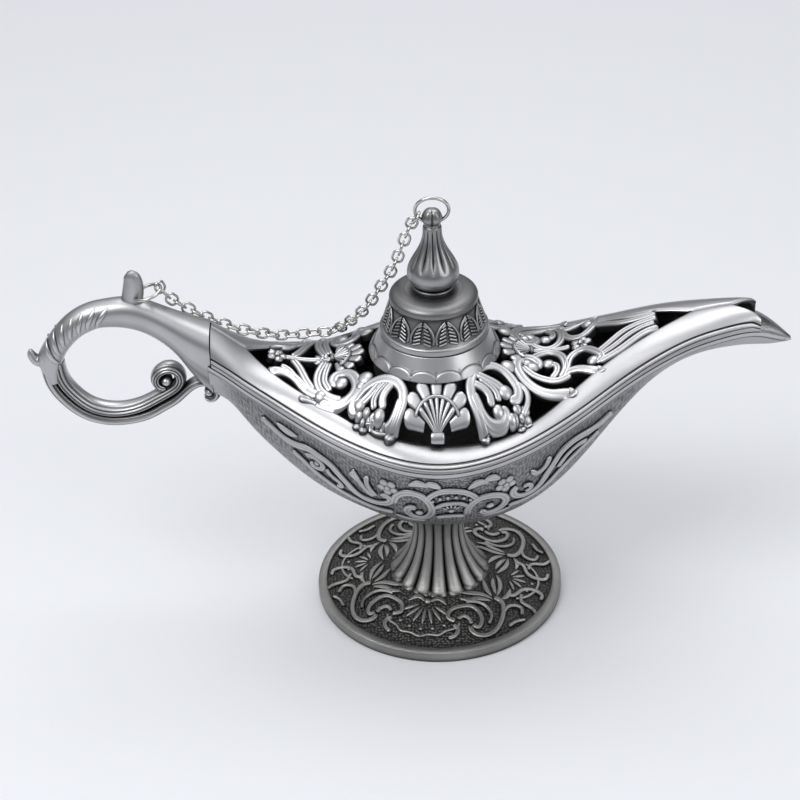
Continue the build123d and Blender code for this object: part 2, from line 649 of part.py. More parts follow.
half_straight = (link_length - link_width) / 2
bend = (link_width - link_wire) / 2
link_path = Wire([
    Edge.make_line((-half_straight, -bend), (half_straight, -bend)),
    Edge.make_three_point_arc((half_straight, -bend), (half_straight + bend, 0), (half_straight, bend)),
    Edge.make_line((half_straight, bend), (-half_straight, bend)),
    Edge.make_three_point_arc((-half_straight, bend), (-half_straight - bend, 0), (-half_straight, -bend)),
])
link = sweep(
    sections=Plane((-half_straight, -bend, 0), z_dir=(1, 0, 0)) * Circle(link_wire / 2), path=link_path
)


def across(vector, heading):
    """Keeps the part of a vector that is square to a heading, at length one."""
    return (vector - heading * vector.dot(heading)).normalized()


def link_facings():
    """Turns each link a quarter turn from the last, with a small even twist that squares the last to its ring."""
    headings = [route.tangent_at(link_place(i) / route.length) for i in range(link_count)]
    wire_heading = finial_ring_up * cos(catch_turn) - Vector(sin(catch_turn), 0, 0)
    carried = [across(wire_heading, headings[0])]
    for heading in headings[1:]:
        carried.append(across(carried[-1], heading))
    wanted = across(Vector(0, cos(horn_turn), 0) - horn_ring_out * sin(horn_turn), headings[-1])
    last = carried[-1] if link_count % 2 else headings[-1].cross(carried[-1])
    twist = atan2(headings[-1].dot(last.cross(wanted)), last.dot(wanted))
    twist = (twist + pi / 2) % pi - pi / 2
    facings = []
    for i, (heading, normal) in enumerate(zip(headings, carried)):
        turn = twist * i / (link_count - 1) + (pi / 2 if i % 2 else 0)
        facings.append((heading, normal * cos(turn) + heading.cross(normal) * sin(turn)))
    return facings


links = {}
for i, (heading, facing) in enumerate(link_facings()):
    spot = route.position_at(link_place(i) / route.length)
    links[f"chain_link_{i + 1:02d}"] = Plane(spot, x_dir=heading, z_dir=facing) * link

nodes = {
    "foot": foot, "foot_pad": pad, "foot_washer": washer, "foot_screw": screw, "bowl": bowl, "handle": handle,
    "cover_rim": rim, "cover_collar": collar, "cover_filigree": filigree, "lid": lid,
    "finial_ring": finial_ring, "horn_ring": horn_ring, **links,
}
for name, shape in nodes.items():
    export_step(shape, f"parts/{name}.step")
print("links", link_count, "split after", split, "pitch", round(step, 3))
print("upper pivot", finial_catch, "lower pivot", horn_catch)
print("halves meet at", route.position_at((link_place(split - 1) + link_place(split)) / 2 / route.length))
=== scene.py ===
import bmesh
import bpy
import numpy as np
from mathutils import Matrix


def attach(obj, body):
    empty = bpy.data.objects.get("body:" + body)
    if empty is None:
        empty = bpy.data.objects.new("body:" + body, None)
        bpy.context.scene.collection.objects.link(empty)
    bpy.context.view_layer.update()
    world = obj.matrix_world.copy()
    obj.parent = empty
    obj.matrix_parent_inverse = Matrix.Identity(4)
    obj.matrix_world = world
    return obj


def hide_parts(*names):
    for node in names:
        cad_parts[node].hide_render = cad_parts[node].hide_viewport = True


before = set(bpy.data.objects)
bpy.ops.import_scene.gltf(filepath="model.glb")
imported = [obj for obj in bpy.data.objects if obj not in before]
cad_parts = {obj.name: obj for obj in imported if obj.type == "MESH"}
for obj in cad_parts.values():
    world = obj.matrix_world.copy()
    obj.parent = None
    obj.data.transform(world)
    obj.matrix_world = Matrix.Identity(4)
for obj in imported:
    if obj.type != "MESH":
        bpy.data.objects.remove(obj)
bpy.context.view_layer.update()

# A genie oil lamp in antique grey metal. Shapes are worked out in millimetres in the CAD frame and written to
# the meshes in metres. A casting is a grid of points whose rows close on themselves. Each point carries how
# far its place is rubbed bright (worn), how much of the beaded ground it takes (ground), and flat coordinates
# in millimetres (chart).
MM = 0.001
# Millimetres to one unit of the UV map
CHART_UNIT = 10.0
BEAD_SIZE, GRAIN = 0.95, 0.05
MERGE_DISTANCE, CREASE = 2e-6, np.radians(40)

# Stations along the hull: x, half width, seam height, depth, cover rise, opening half width, vault rise
STATIONS = np.array([
    (-62.0, 7.6, 83.4, 12.4, 9.1, 0.0, 0.0), (-57.0, 9.3, 80.6, 13.0, 8.2, 0.0, 0.0),
    (-52.0, 11.6, 77.8, 17.4, 7.0, 0.0, 0.0), (-46.0, 14.5, 74.9, 22.1, 7.1, 5.6, 0.9),
    (-39.0, 18.2, 71.8, 26.3, 8.6, 11.1, 1.7), (-30.0, 23.6, 68.8, 29.8, 9.4, 16.6, 4.2),
    (-20.0, 29.2, 66.6, 32.0, 9.6, 23.0, 9.6), (-10.0, 33.4, 65.3, 33.8, 8.3, 26.4, 15.3),
    (0.0, 35.2, 64.8, 34.2, 6.6, 27.4, 17.4), (10.0, 34.6, 65.6, 34.8, 5.4, 27.0, 16.5),
    (20.0, 31.8, 67.3, 34.1, 5.5, 25.0, 11.7), (30.0, 27.4, 70.0, 31.4, 7.4, 20.8, 5.6),
    (40.0, 22.2, 73.9, 25.1, 9.1, 15.0, 2.1), (50.0, 17.4, 78.9, 16.2, 8.3, 9.6, 1.2),
    (60.0, 13.9, 83.8, 8.8, 6.8, 5.2, 0.7), (70.0, 11.0, 87.4, 6.6, 5.4, 0.0, 0.0),
    (79.0, 8.4, 88.8, 6.8, 5.6, 0.0, 0.0), (88.5, 6.0, 88.6, 6.5, 6.4, 0.0, 0.0),
    (93.5, 3.9, 86.2, 4.1, 8.8, 0.0, 0.0), (98.0, 0.7, 83.2, 0.9, 11.8, 0.0, 0.0),
])
STERN, BOW = STATIONS[0, 0], STATIONS[-1, 0]
OPEN_STATIONS = STATIONS[3:15]
OPENING_EDGE = [(-52.0, 0.0), *OPEN_STATIONS[:, [0, 5]], (70.7, 0.0)]
COVER_END, NOTCH_APEX, NOTCH_SLOPE = 88.5, 80.9, 0.615
RIM_THICKNESS, BOWL_WALL = 1.6, 1.8
VAULT_SINK, SEAM_GAP = 1.7, 0.12
SKIN_DEPTH = 48.0

# The foot's sunk face and the lid's dome: radius against height
FACE_RADII, FACE_HEIGHTS = [13, 15, 31.2, 34], [6.4, 6.2, 2.75, 2.7]
DOME_HEIGHTS, DOME_RADII, DOME_MEAN = [90, 91.3, 94.8, 98.5], [14.9, 14.0, 12.85, 11.7], 13.0


# Curves and forms
def ramp(value, start, end):
    """Rises evenly from 0 at start to 1 at end and stays there."""
    return np.clip((value - start) / (end - start), 0, 1)


def dent(place, middle, width):
    """A soft line: 1 on its middle and falling away to both sides as a bell curve of that width."""
    return np.exp(-((place - middle) / width) ** 2)


def arch(u):
    """Height of a half circle of radius one over u, and 0 beyond it."""
    return np.sqrt(np.clip(1 - u ** 2, 0, 1))


def ray(angle):
    """Gives the unit direction at an angle in the plane."""
    return np.stack([np.cos(angle), np.sin(angle)], -1)


def whole_turn(count):
    """Gives so many even angles once round."""
    return np.linspace(0, 2 * np.pi, count, endpoint=False)


def unit(vectors):
    """Scales vectors to length one."""
    return vectors / np.maximum(np.linalg.norm(vectors, axis=-1, keepdims=True), 1e-9)


def left_of(path):
    """Gives the direction a quarter turn to the left of a flat path at each of its points."""
    tangent = unit(np.gradient(path, axis=0))
    return np.stack([-tangent[:, 1], tangent[:, 0]], -1)


def run_along(y, z):
    """Adds up the distance from point to point along each row."""
    return np.cumsum(np.hypot(np.diff(y, prepend=y[:, :1]), np.diff(z, prepend=z[:, :1])), axis=1)


def cubic(knots, values, at):
    """Natural cubic spline: between two knots the value bends evenly from one second slope to the next."""
    knots, values = np.asarray(knots, float), np.asarray(values, float)
    h = np.diff(knots)
    system, right = np.eye(len(knots)), np.zeros_like(values)
    i = np.arange(1, len(knots) - 1)
    system[i, i - 1], system[i, i], system[i, i + 1] = h[i - 1], 2 * (h[i - 1] + h[i]), h[i]
    right[i] = 6 * ((values[i + 1] - values[i]) / h[i, None] - (values[i] - values[i - 1]) / h[i - 1, None])
    bend = np.linalg.solve(system, right)
    at = np.asarray(at, float)
    k = np.clip(np.searchsorted(knots, at.ravel()) - 1, 0, len(knots) - 2)
    a, b = (knots[k + 1] - at.ravel())[:, None], (at.ravel() - knots[k])[:, None]
    step = h[k][:, None]
    out = (bend[k] * a**3 + bend[k + 1] * b**3) / (6 * step)
    out += (values[k] / step - bend[k] * step / 6) * a + (values[k + 1] / step - bend[k + 1] * step / 6) * b
    return out.reshape(*at.shape, -1)


def smooth_line(points, count):
    """Runs a cubic through the points by their chord lengths and gives count places along it."""
    points = np.asarray(points, float)
    run = np.concatenate([[0], np.cumsum(np.linalg.norm(np.diff(points, axis=0), axis=1))])
    return cubic(run, points, np.linspace(0, run[-1], count))


def bent(profile, steps):
    """Rounds a profile by a cubic through its points, with so many steps from each point to the next."""
    return smooth_line(profile, steps * (len(profile) - 1) + 1)


# Surfaces that ornament is laid on
def hull_at(x):
    """Gives half width, seam, depth and cover rise at x, each a smooth curve through the stations."""
    return np.moveaxis(cubic(STATIONS[:, 0], STATIONS[:, 1:5], x), -1, 0)


EDGE_LINE = smooth_line(OPENING_EDGE, 400)


def opening_at(x):
    """Gives the opening's half width, or the notch's beyond its apex."""
    inside = np.interp(x, EDGE_LINE[:, 0], EDGE_LINE[:, 1], left=0, right=0)
    return np.maximum(np.maximum(inside, 0), np.maximum((x - NOTCH_APEX) * NOTCH_SLOPE, 0))


def vault_surface(chart):
    """Height of the pierced vault over the plan: half an ellipse that springs from the opening's edges."""
    x, y = chart[..., 0], chart[..., 1]
    columns = cubic(OPEN_STATIONS[:, 0], OPEN_STATIONS[:, [1, 2, 4, 5, 6]], np.clip(x, -50, 66))
    half, seam, crown, edge, rise = np.moveaxis(columns, -1, 0)
    edge = np.maximum(edge, 1.5)
    spring = seam + crown * arch(edge / half) - RIM_THICKNESS
    z = spring + (RIM_THICKNESS + rise) * np.sqrt(np.clip(1 - (y / edge) ** 2, 0.02, 1))
    return np.stack([x, y, z], -1)


def bowl_surface(side):
    """Gives the bowl's outer skin on one side as a function of x and the distance below the seam."""
    xs, turn = np.linspace(STERN, BOW, 640), np.linspace(0, np.pi / 2, 300)
    half, seam, depth, _ = hull_at(xs[:, None])
    y, z = half * np.cos(turn), seam - depth * np.sin(turn)
    far = np.linspace(0, SKIN_DEPTH, 240)
    grid = np.stack([
        np.stack([np.full_like(far, a), side * np.interp(far, r, b), np.interp(far, r, c)], -1)
        for a, r, b, c in zip(xs, run_along(y, z), y, z)
    ])

    def surface(chart):
        u = np.clip((chart[..., 0] - STERN) / (BOW - STERN) * (len(xs) - 1), 0, len(xs) - 1.001)
        v = np.clip(chart[..., 1] / SKIN_DEPTH * (len(far) - 1), 0, len(far) - 1.001)
        i, j = u.astype(int), v.astype(int)
        a, b = (u - i)[..., None], (v - j)[..., None]
        above = grid[i, j] * (1 - a) + grid[i + 1, j] * a
        below = grid[i, j + 1] * (1 - a) + grid[i + 1, j + 1] * a
        return above * (1 - b) + below * b
    return surface


def foot_surface(chart):
    """Height of the foot's sunk face over the plan: a shallow cone up to the stem."""
    z = np.interp(np.hypot(chart[..., 0], chart[..., 1]), FACE_RADII, FACE_HEIGHTS)
    return np.concatenate([chart, z[..., None]], -1)


def dome_surface(chart):
    """The lid's side as a function of distance round it and height: a cone with a slight waist."""
    radius = np.interp(chart[..., 1], DOME_HEIGHTS, DOME_RADII)
    turn = chart[..., 0] / DOME_MEAN
    return np.stack([radius * np.cos(turn), radius * np.sin(turn), chart[..., 1]], -1)


def normals_of(surface, chart, side):
    """Crosses the two slopes of a surface and turns the result to the wanted side."""
    e = 0.05
    du = surface(chart + [e, 0]) - surface(chart - [e, 0])
    dv = surface(chart + [0, e]) - surface(chart - [0, e])
    return unit(np.cross(du, dv)) * side


# Ornament
def strip(surface, line, width, height, sink=0.5, side=1, form="even", groove=0.0, steps=None):
    """Lays a raised strip along a line on a surface.

    Across, its height is half an ellipse less a dip along the middle where it is grooved. Along, its width is
    even with round ends, swells and ends in points as a leaf does, or widens to a round tip as a lobe does.
    """
    length = np.linalg.norm(np.diff(line, axis=0), axis=1).sum()
    count = steps or int(np.clip(length / 0.3, 8, 90))
    path = smooth_line(line, count)
    t = np.linspace(0, 1, count)
    if form == "leaf":
        cap = np.sin(np.pi * t) ** 0.7
    elif form == "lobe":
        cap = (0.35 + 0.65 * t) * arch(ramp((1 - t) * length, width / 2, 0))
        cap[0] = 0
    else:
        cap = arch(ramp(np.minimum(t, 1 - t) * length, width / 2, 0))
    turn = np.linspace(0, np.pi, 11 if groove else 9)
    rise = np.sin(turn) ** 0.8 - groove * dent(np.cos(turn), 0, 0.28)
    offset, rise = np.append(np.cos(turn), [-0.8, 0.8]), np.append(rise, [-sink / height, -sink / height])
    chart = path[:, None] + left_of(path)[:, None] * (offset[:, None] * cap[:, None, None] * width / 2)
    lift = height * np.where(rise > 0, rise * cap[:, None] ** 0.6, rise)
    points = surface(chart) + normals_of(surface, path, side)[:, None] * lift[..., None]
    worn = np.clip(0.12 + 1.1 * np.clip(rise, 0, 1) ** 1.5, 0, 1)
    return dict(points=points, worn=worn, chart=chart, ends=True)


def boss(surface, centre, radius, height, sink=0.5, side=1):
    """Sets a low round dome on a surface: rings about the centre whose height follows a circle's arc."""
    centre = np.asarray(centre, float)
    tilt = np.linspace(0, np.pi / 2, 9)
    reach = np.append(np.sin(tilt), [0.9, 0.0])
    rise = np.append(np.cos(tilt), [-sink / height, -sink / height])
    chart = centre + ray(whole_turn(20)) * (reach * radius)[:, None, None]
    normal = normals_of(surface, centre[None], side)[0]
    points = surface(chart) + normal * (rise * height)[:, None, None]
    return dict(points=points, worn=np.clip(0.1 + np.clip(rise, 0, 1), 0, 1)[:, None], chart=chart)


def flower(surface, centre, radius, height, turn=90, **lay):
    """Sets five round petals about a small dome, with a fine line down each."""
    for angle in np.radians(turn) + whole_turn(5):
        way = ray(angle) * radius
        yield boss(surface, centre + way * 0.6, radius * 0.42, height * 0.8, **lay)
        vein = [centre + way * 0.3, centre + way * 0.95]
        yield strip(surface, vein, radius * 0.13, height * 0.95, steps=8, **lay)
    yield boss(surface, centre, radius * 0.3, height * 1.3, **lay)


# Turned castings, and the making of a piece
def turned(profile, worn, count, bulge, loop=False, ground=0.0):
    """Turns a profile of (radius, height) about the lamp's axis; bulge swells the radius round the turn."""
    angle = whole_turn(count)
    rows = np.column_stack([profile, worn]).T[..., None] + 0 * angle
    radius, height, wear = bulge(*rows, angle)
    chart = radius[..., None] * ray(angle)
    points = np.concatenate([chart, height[..., None]], -1)
    return dict(points=points, worn=wear, chart=chart, loop=loop, ground=ground)


def piece(name, grids, body, material, nodes=()):
    """Joins castings into one mesh with its worn, ground and chart layers.

    Each grid's rows close on themselves. A grid with ends is closed by a point in the middle of its first and
    last row, and a looped one runs on from its last row to its first.
    """
    layers = {"points": [], "chart": [], "worn": [], "ground": []}
    faces, start = [], 0
    for grid in grids:
        rows, cols = grid["points"].shape[:2]
        ends, loop = grid.get("ends", False), grid.get("loop", False)
        for layer, parts in layers.items():
            values = np.asarray(grid.get(layer, 0.0))
            if values.ndim < 3:
                values = np.broadcast_to(values, (rows, cols))[..., None]
            if ends:
                first, last = values[:1], values[-1:]
                if layer == "points":
                    first, last = (row.mean(1, keepdims=True) + 0 * row for row in (first, last))
                values = np.concatenate([first, values, last])
            parts.append(values.reshape(-1, values.shape[-1]))
        rows += 2 * ends
        r, k = np.meshgrid(np.arange(rows if loop else rows - 1), np.arange(cols), indexing="ij")
        r1, k1 = (r + 1) % rows, (k + 1) % cols
        corners = np.stack([r * cols + k, r1 * cols + k, r1 * cols + k1, r * cols + k1], -1)
        faces.append(corners.reshape(-1, 4) + start)
        start += rows * cols
    joined = {layer: np.concatenate(parts) for layer, parts in layers.items()}
    mesh = bpy.data.meshes.new(name)
    mesh.from_pydata(joined["points"] * MM, [], np.concatenate(faces))
    for layer in ("worn", "ground"):
        values = joined[layer].ravel().astype(np.float32)
        mesh.attributes.new(layer, "FLOAT", "POINT").data.foreach_set("value", values)
    corner = np.empty(len(mesh.loops), int)
    mesh.loops.foreach_get("vertex_index", corner)
    mesh.uv_layers.new(name="chart").data.foreach_set("uv", (joined["chart"] / CHART_UNIT)[corner].ravel())
    shape = bmesh.new()
    shape.from_mesh(mesh)
    bmesh.ops.remove_doubles(shape, verts=shape.verts, dist=MERGE_DISTANCE)
    bmesh.ops.recalc_face_normals(shape, faces=shape.faces)
    shape.to_mesh(mesh)
    shape.free()
    mesh.shade_smooth()
    mesh.set_sharp_from_angle(angle=CREASE)
    made = bpy.data.objects.new(name, mesh)
    bpy.context.scene.collection.objects.link(made)
    mesh.materials.append(material)
    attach(made, body)
    if nodes:
        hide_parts(*nodes)


# Finishes; the cast metal ones also paint shade into corners and creases
def fill(tree, node, inputs):
    """Sets a node's inputs to values, or links them to other nodes' outputs."""
    for socket, value in inputs.items():
        if isinstance(value, bpy.types.NodeSocket):
            tree.links.new(value, node.inputs[socket])
        else:
            node.inputs[socket].default_value = value


def add(tree, kind, output, inputs=None, **settings):
    """Adds a node with its settings and inputs and gives the named output."""
    node = tree.nodes.new("ShaderNode" + kind)
    for setting, value in settings.items():
        setattr(node, setting, value)
    fill(tree, node, inputs or {})
    return node.outputs[output]


def multiply(tree, first, second, **settings):
    """Multiplies two outputs."""
    return add(tree, "Math", "Value", {0: first, 1: second}, operation="MULTIPLY", **settings)


def mixed(tree, low, high, factor):
    """Goes from one colour to another as a factor rises."""
    return add(tree, "Mix", "Result", {"A": (*low, 1), "B": (*high, 1), "Factor": factor}, data_type="RGBA")


def new_material(name):
    """Starts a material and gives it with its node tree and its shader."""
    made = bpy.data.materials.new(name)
    made.use_nodes = True
    return made, made.node_tree, made.node_tree.nodes["Principled BSDF"]


def cast_metal_with_painted_shade(name, bright, patina, rough, beads=0.0, gloom=0.0, bead_shine=0.5):
    """Antique cast metal with fine grain: bright where the worn layer is high, dark patina where it is low.

    Clouds break up the bright worn places, painted shade from ambient occlusion darkens corners and creases,
    and beads are round bumps on the ground layer.
    """
    made, tree, shader = new_material(name)
    place = add(tree, "TexCoord", "Object")
    cloud = add(tree, "TexNoise", "Fac", {"Vector": place, "Scale": 55, "Detail": 6})
    smudge = add(tree, "MapRange", "Result", {
        "Value": cloud, "From Min": 0.3, "From Max": 0.7, "To Min": 0.82 - gloom, "To Max": 1.06})
    wear_and_painted_shade = multiply(tree, add(tree, "Attribute", "Fac", attribute_name="worn"), smudge, use_clamp=True)
    # Painted shade: ambient occlusion darkens the colour towards the patina tone in corners and creases.
    corner = add(tree, "AmbientOcclusion", "AO", {"Distance": 0.0022}, samples=8)
    painted_shade_factor = add(tree, "MapRange", "Result", {
        "Value": corner, "From Min": 0.35, "From Max": 0.92, "To Min": 0.05})
    wear_and_painted_shade = multiply(tree, wear_and_painted_shade, painted_shade_factor)
    height = add(tree, "TexNoise", "Fac", {"Vector": place, "Scale": 2600, "Detail": 3})
    if beads:
        flat = add(tree, "UVMap", "UV", uv_map="chart")
        cell = add(tree, "TexVoronoi", "Distance", {
            "Vector": flat, "Scale": CHART_UNIT / BEAD_SIZE, "Randomness": 0.7}, voronoi_dimensions="2D")
        round_top = add(tree, "MapRange", "Result", {"Value": cell, "From Min": 0.5, "From Max": 0.12})
        raised = multiply(tree, round_top, add(tree, "Attribute", "Fac", attribute_name="ground"))
        height = add(tree, "Math", "Value", {0: raised, 1: height}, operation="ADD")
        wear_and_painted_shade = add(tree, "Math", "Value", {0: raised, 1: bead_shine, 2: wear_and_painted_shade},
                     operation="MULTIPLY_ADD", use_clamp=True)
    bump = add(tree, "Bump", "Normal", {"Strength": beads or GRAIN, "Distance": 0.0002, "Height": height})
    tint = mixed(tree, patina, bright, wear_and_painted_shade)
    dull = add(tree, "MapRange", "Result", {"Value": wear_and_painted_shade, "To Min": rough + 0.22, "To Max": rough})
    fill(tree, shader, {"Metallic": 1.0, "Base Color": tint, "Roughness": dull, "Normal": bump})
    return made


def wire_finish(name, colour, rough):
    """Bright drawn wire: mirror-like steel with faint draw marks."""
    made, tree, shader = new_material(name)
    marks = add(tree, "TexNoise", "Fac", {"Vector": add(tree, "TexCoord", "Object"), "Scale": 900})
    tone = mixed(tree, [c * 0.8 for c in colour], colour, marks)
    sheen = add(tree, "MapRange", "Result", {"Value": marks, "To Min": rough, "To Max": rough + 0.12})
    fill(tree, shader, {"Metallic": 1.0, "Base Color": tone, "Roughness": sheen})
    return made


def felt_finish(name):
    """Black felt: fine fibres in two greys, raised by the same noise."""
    made, tree, shader = new_material(name)
    place = add(tree, "TexCoord", "Object")
    fibres = add(tree, "TexNoise", "Fac", {"Vector": place, "Scale": 1800, "Detail": 8})
    shade = mixed(tree, (0.03, 0.03, 0.032), (0.08, 0.08, 0.085), fibres)
    nap = add(tree, "Bump", "Normal", {"Distance": 0.0003, "Height": fibres})
    fill(tree, shader, {"Base Color": shade, "Roughness": 0.95, "Normal": nap})
    return made


satin = cast_metal_with_painted_shade("satin_pewter", (0.58, 0.58, 0.59), (0.03, 0.03, 0.03), 0.33)
relief = cast_metal_with_painted_shade("relief_pewter", (0.55, 0.55, 0.56), (0.05, 0.05, 0.05), 0.30, beads=0.8)
aged = cast_metal_with_painted_shade("aged_pewter", (0.42, 0.415, 0.40), (0.014, 0.014, 0.013), 0.32, beads=0.9, gloom=0.1,
                   bead_shine=0.22)
lid_metal = cast_metal_with_painted_shade("lid_pewter", (0.42, 0.42, 0.425), (0.02, 0.02, 0.02), 0.28, gloom=0.1)
chain_steel = wire_finish("chain_steel", (0.62, 0.61, 0.59), 0.14)
plated = wire_finish("plated_steel", (0.6, 0.6, 0.58), 0.3)
felt = felt_finish("black_felt")


# Bowl: skin with its lip strip, and scrolls, a shell, flowers and leaves laid on a beaded ground
def bowl_grid():
    """Half ellipses from seam to seam, back along an inner skin; a step runs 1.3 below the seam."""
    x = np.concatenate([np.linspace(STERN, 60, 300), np.linspace(60.5, BOW, 60)])[:, None]
    half, seam, depth, _ = hull_at(x)
    lip, deepest = 2.4, 60.0
    fine = np.concatenate([np.linspace(0, lip, 13), np.linspace(2.8, deepest, 60)])
    turn = np.linspace(0, np.pi / 2, 400)
    run = run_along(half * np.cos(turn), depth * np.sin(turn))
    total = run[:, -1:]
    below_lip = lip + (fine - lip) * (total - lip) / (deepest - lip)
    far = np.where(total > 4, np.where(fine <= lip, fine, below_lip), fine / deepest * total)
    angle = np.stack([np.interp(f, r, turn) for f, r in zip(far, run)])
    step = 0.32 * (1 - 1 / (1 + np.exp(-(far - 1.35) / 0.09)))
    push = (step - 0.3) * ramp(x, STERN, -58) * ramp(x, 92, 84)
    out_y, out_z = (half + push) * np.cos(angle), seam - (depth + push) * np.sin(angle)
    wall = np.minimum(BOWL_WALL, 0.4 * np.minimum(half, depth))
    back = np.linspace(np.pi / 2, 0, 12)
    in_y, in_z = (half - wall) * np.cos(back), seam - (depth - wall) * np.sin(back)
    ys = np.concatenate([out_y, -out_y[:, -2::-1], -in_y[:, ::-1], in_y[:, 1:]], 1)
    zs = np.concatenate([out_z, out_z[:, -2::-1], in_z[:, ::-1], in_z[:, 1:]], 1)
    plain = ramp(far, 1.6, 2.2) * ramp(x, 62, 52) * ramp(x, -60, -54)
    tone = np.where(far < 1.3, 0.95, 0.26 + 0.55 * (1 - plain)) * (1 - 0.85 * dent(far, 1.42, 0.28))
    inside = 0.05 + 0.7 * ramp(x, 78, 84) + np.zeros((1, 2 * len(back) - 1))
    worn = np.concatenate([tone, tone[:, -2::-1], inside], 1)
    ground = np.concatenate([plain, plain[:, -2::-1], 0 * inside], 1)
    flat = np.concatenate([far, 2 * total - far[:, -2::-1], 0 * inside], 1)
    xs = np.broadcast_to(x, ys.shape)
    points, chart = np.stack([xs, ys, zs], -1), np.stack([xs, flat], -1)
    return dict(points=points, worn=worn, ground=ground, chart=chart, ends=True)


# Places on the bowl's side: x and the distance below the seam
BOWL_RIDGES = [
    (1.5, [(-48.1, 5.4), (-44.5, 6.9), (-41.2, 7.9), (-38.6, 7.7), (-35.2, 6.4), (-31.7, 6.9), (-28.9, 7.8),
        (-27.3, 9.5), (-25.1, 11.9), (-22.5, 14.9), (-19.6, 16.2), (-16.4, 15.8), (-13.9, 14.2),
        (-13.0, 12.2), (-14.2, 10.9), (-15.7, 12.0)]),
    (1.2, [(-39.8, 11.0), (-37.0, 12.4), (-33.8, 14.6), (-30.2, 16.4), (-26.2, 18.2), (-21.7, 19.4),
        (-17.4, 19.8), (-12.4, 18.6)]),
    (1.1, [(-36.2, 9.4), (-33.4, 8.3), (-31.5, 9.4), (-32.1, 11.8), (-34.0, 12.2), (-34.4, 10.8)]),
    (1.0, [(-30.4, 10.2), (-29.0, 12.2), (-27.0, 13.4), (-26.4, 15.2), (-28.0, 15.6)]),
    (1.6, [(-12.2, 13.4), (-11.2, 9.4), (-7.9, 7.2), (-4.7, 7.9), (-2.5, 11.2), (-2.1, 15.5), (-3.9, 18.4),
        (-6.7, 18.6), (-8.5, 16.4), (-7.9, 13.8), (-6.0, 13.6)]),
    (1.1, [(-24.2, 6.8), (-21.7, 8.3), (-20.0, 10.9), (-17.4, 13.2)]),
    (1.0, [(-19.2, 5.4), (-19.4, 8.2), (-18.2, 10.8), (-16.8, 12.4)]),
    (1.3, [(-3.8, 10.2), (-2.0, 7.2), (0.3, 5.8), (3.4, 5.6), (6.6, 6.6), (8.9, 8.4), (10.2, 10.4)]),
    (1.0, [(-1.6, 12.9), (0.8, 11.2), (3.4, 10.7), (6.0, 11.3), (8.0, 13.2)]),
    (1.1, [(-0.9, 18.0), (3.2, 17.3), (7.0, 18.0)]),
    (1.6, [(7.6, 17.8), (8.2, 13.4), (11.0, 10.6), (14.6, 10.9), (17.6, 13.2), (17.8, 16.8), (15.3, 19.2),
        (12.4, 19.0), (11.6, 16.8)]),
    (1.5, [(21.0, 10.6), (20.0, 12.6), (21.0, 15.4), (23.6, 17.0), (26.3, 16.6), (28.4, 14.2), (29.6, 11.8),
        (31.2, 9.4), (33.0, 7.0), (36.2, 5.6), (40.9, 6.2), (44.4, 6.4), (47.6, 5.4)]),
    (1.0, [(22.6, 12.4), (24.4, 12.6), (24.9, 14.6), (23.2, 15.0)]),
    (1.1, [(30.0, 5.6), (29.0, 8.2), (26.9, 9.4), (25.1, 7.4)]),
    (1.2, [(18.8, 19.0), (22.0, 19.8), (26.0, 19.4), (30.0, 17.4), (33.6, 14.0), (38.0, 11.4), (44.0, 9.4)]),
    (1.1, [(32.4, 12.4), (34.6, 9.6), (37.6, 8.4), (40.6, 9.2)]),
]
BOWL_LEAVES = [
    [(-8.4, 4.6), (-5.4, 3.2), (-2.6, 4.2)], [(-4.2, 3.4), (-1.8, 3.2), (0.6, 4.8)],
    [(7.6, 6.0), (10.6, 4.2), (13.4, 5.2)], [(11.8, 4.2), (14.4, 3.8), (16.6, 5.4)],
    [(-23.0, 5.2), (-22.4, 7.6), (-20.6, 9.4)], [(-44.0, 4.0), (-41.0, 4.6), (-38.0, 4.2)],
    [(-12.0, 20.2), (-8.0, 21.4), (-3.6, 21.0)], [(12.0, 21.6), (16.0, 21.8), (20.0, 21.0)],
]
BOWL_BEADS = [
    (-1.8, 9.7), (0.2, 8.6), (2.3, 8.2), (4.5, 8.3), (6.6, 9.0), (8.4, 10.2),
]
BOWL_EYES = [((-5.4, 16.0), 1.2), ((13.8, 15.6), 1.2), ((3.2, 14.4), 0.9), ((-33.0, 10.3), 0.8)]
BOWL_SHELL_HUB = np.array([3.2, 14.4])
BOWL_FLOWERS = [(-13.8, 7.3), (18.0, 8.2)]


def bowl_relief():
    """Lays the same ornament on both sides of the bowl."""
    for side in (-1, 1):
        skin = bowl_surface(side)
        for width, line in BOWL_RIDGES:
            yield strip(skin, line, width * 1.5, 0.7, side=side, groove=0.35)
        for line in BOWL_LEAVES:
            yield strip(skin, line, 2.4, 0.65, side=side, form="leaf", groove=0.3)
        for bead in BOWL_BEADS:
            yield boss(skin, bead, 0.62, 0.6, side=side)
        for eye, size in BOWL_EYES:
            yield boss(skin, eye, size, 0.7, side=side)
        for angle in np.radians([-50, -25, 0, 25, 50]):
            way = np.array([np.sin(angle), -np.cos(angle)])
            lobe = [BOWL_SHELL_HUB + way * (1.2, 1.0), BOWL_SHELL_HUB + way * (3.2, 3.0)]
            yield strip(skin, lobe, 0.8, 0.5, side=side, form="leaf", steps=10)
        for centre in BOWL_FLOWERS:
            yield from flower(skin, centre, 2.9, 0.55, side=side)


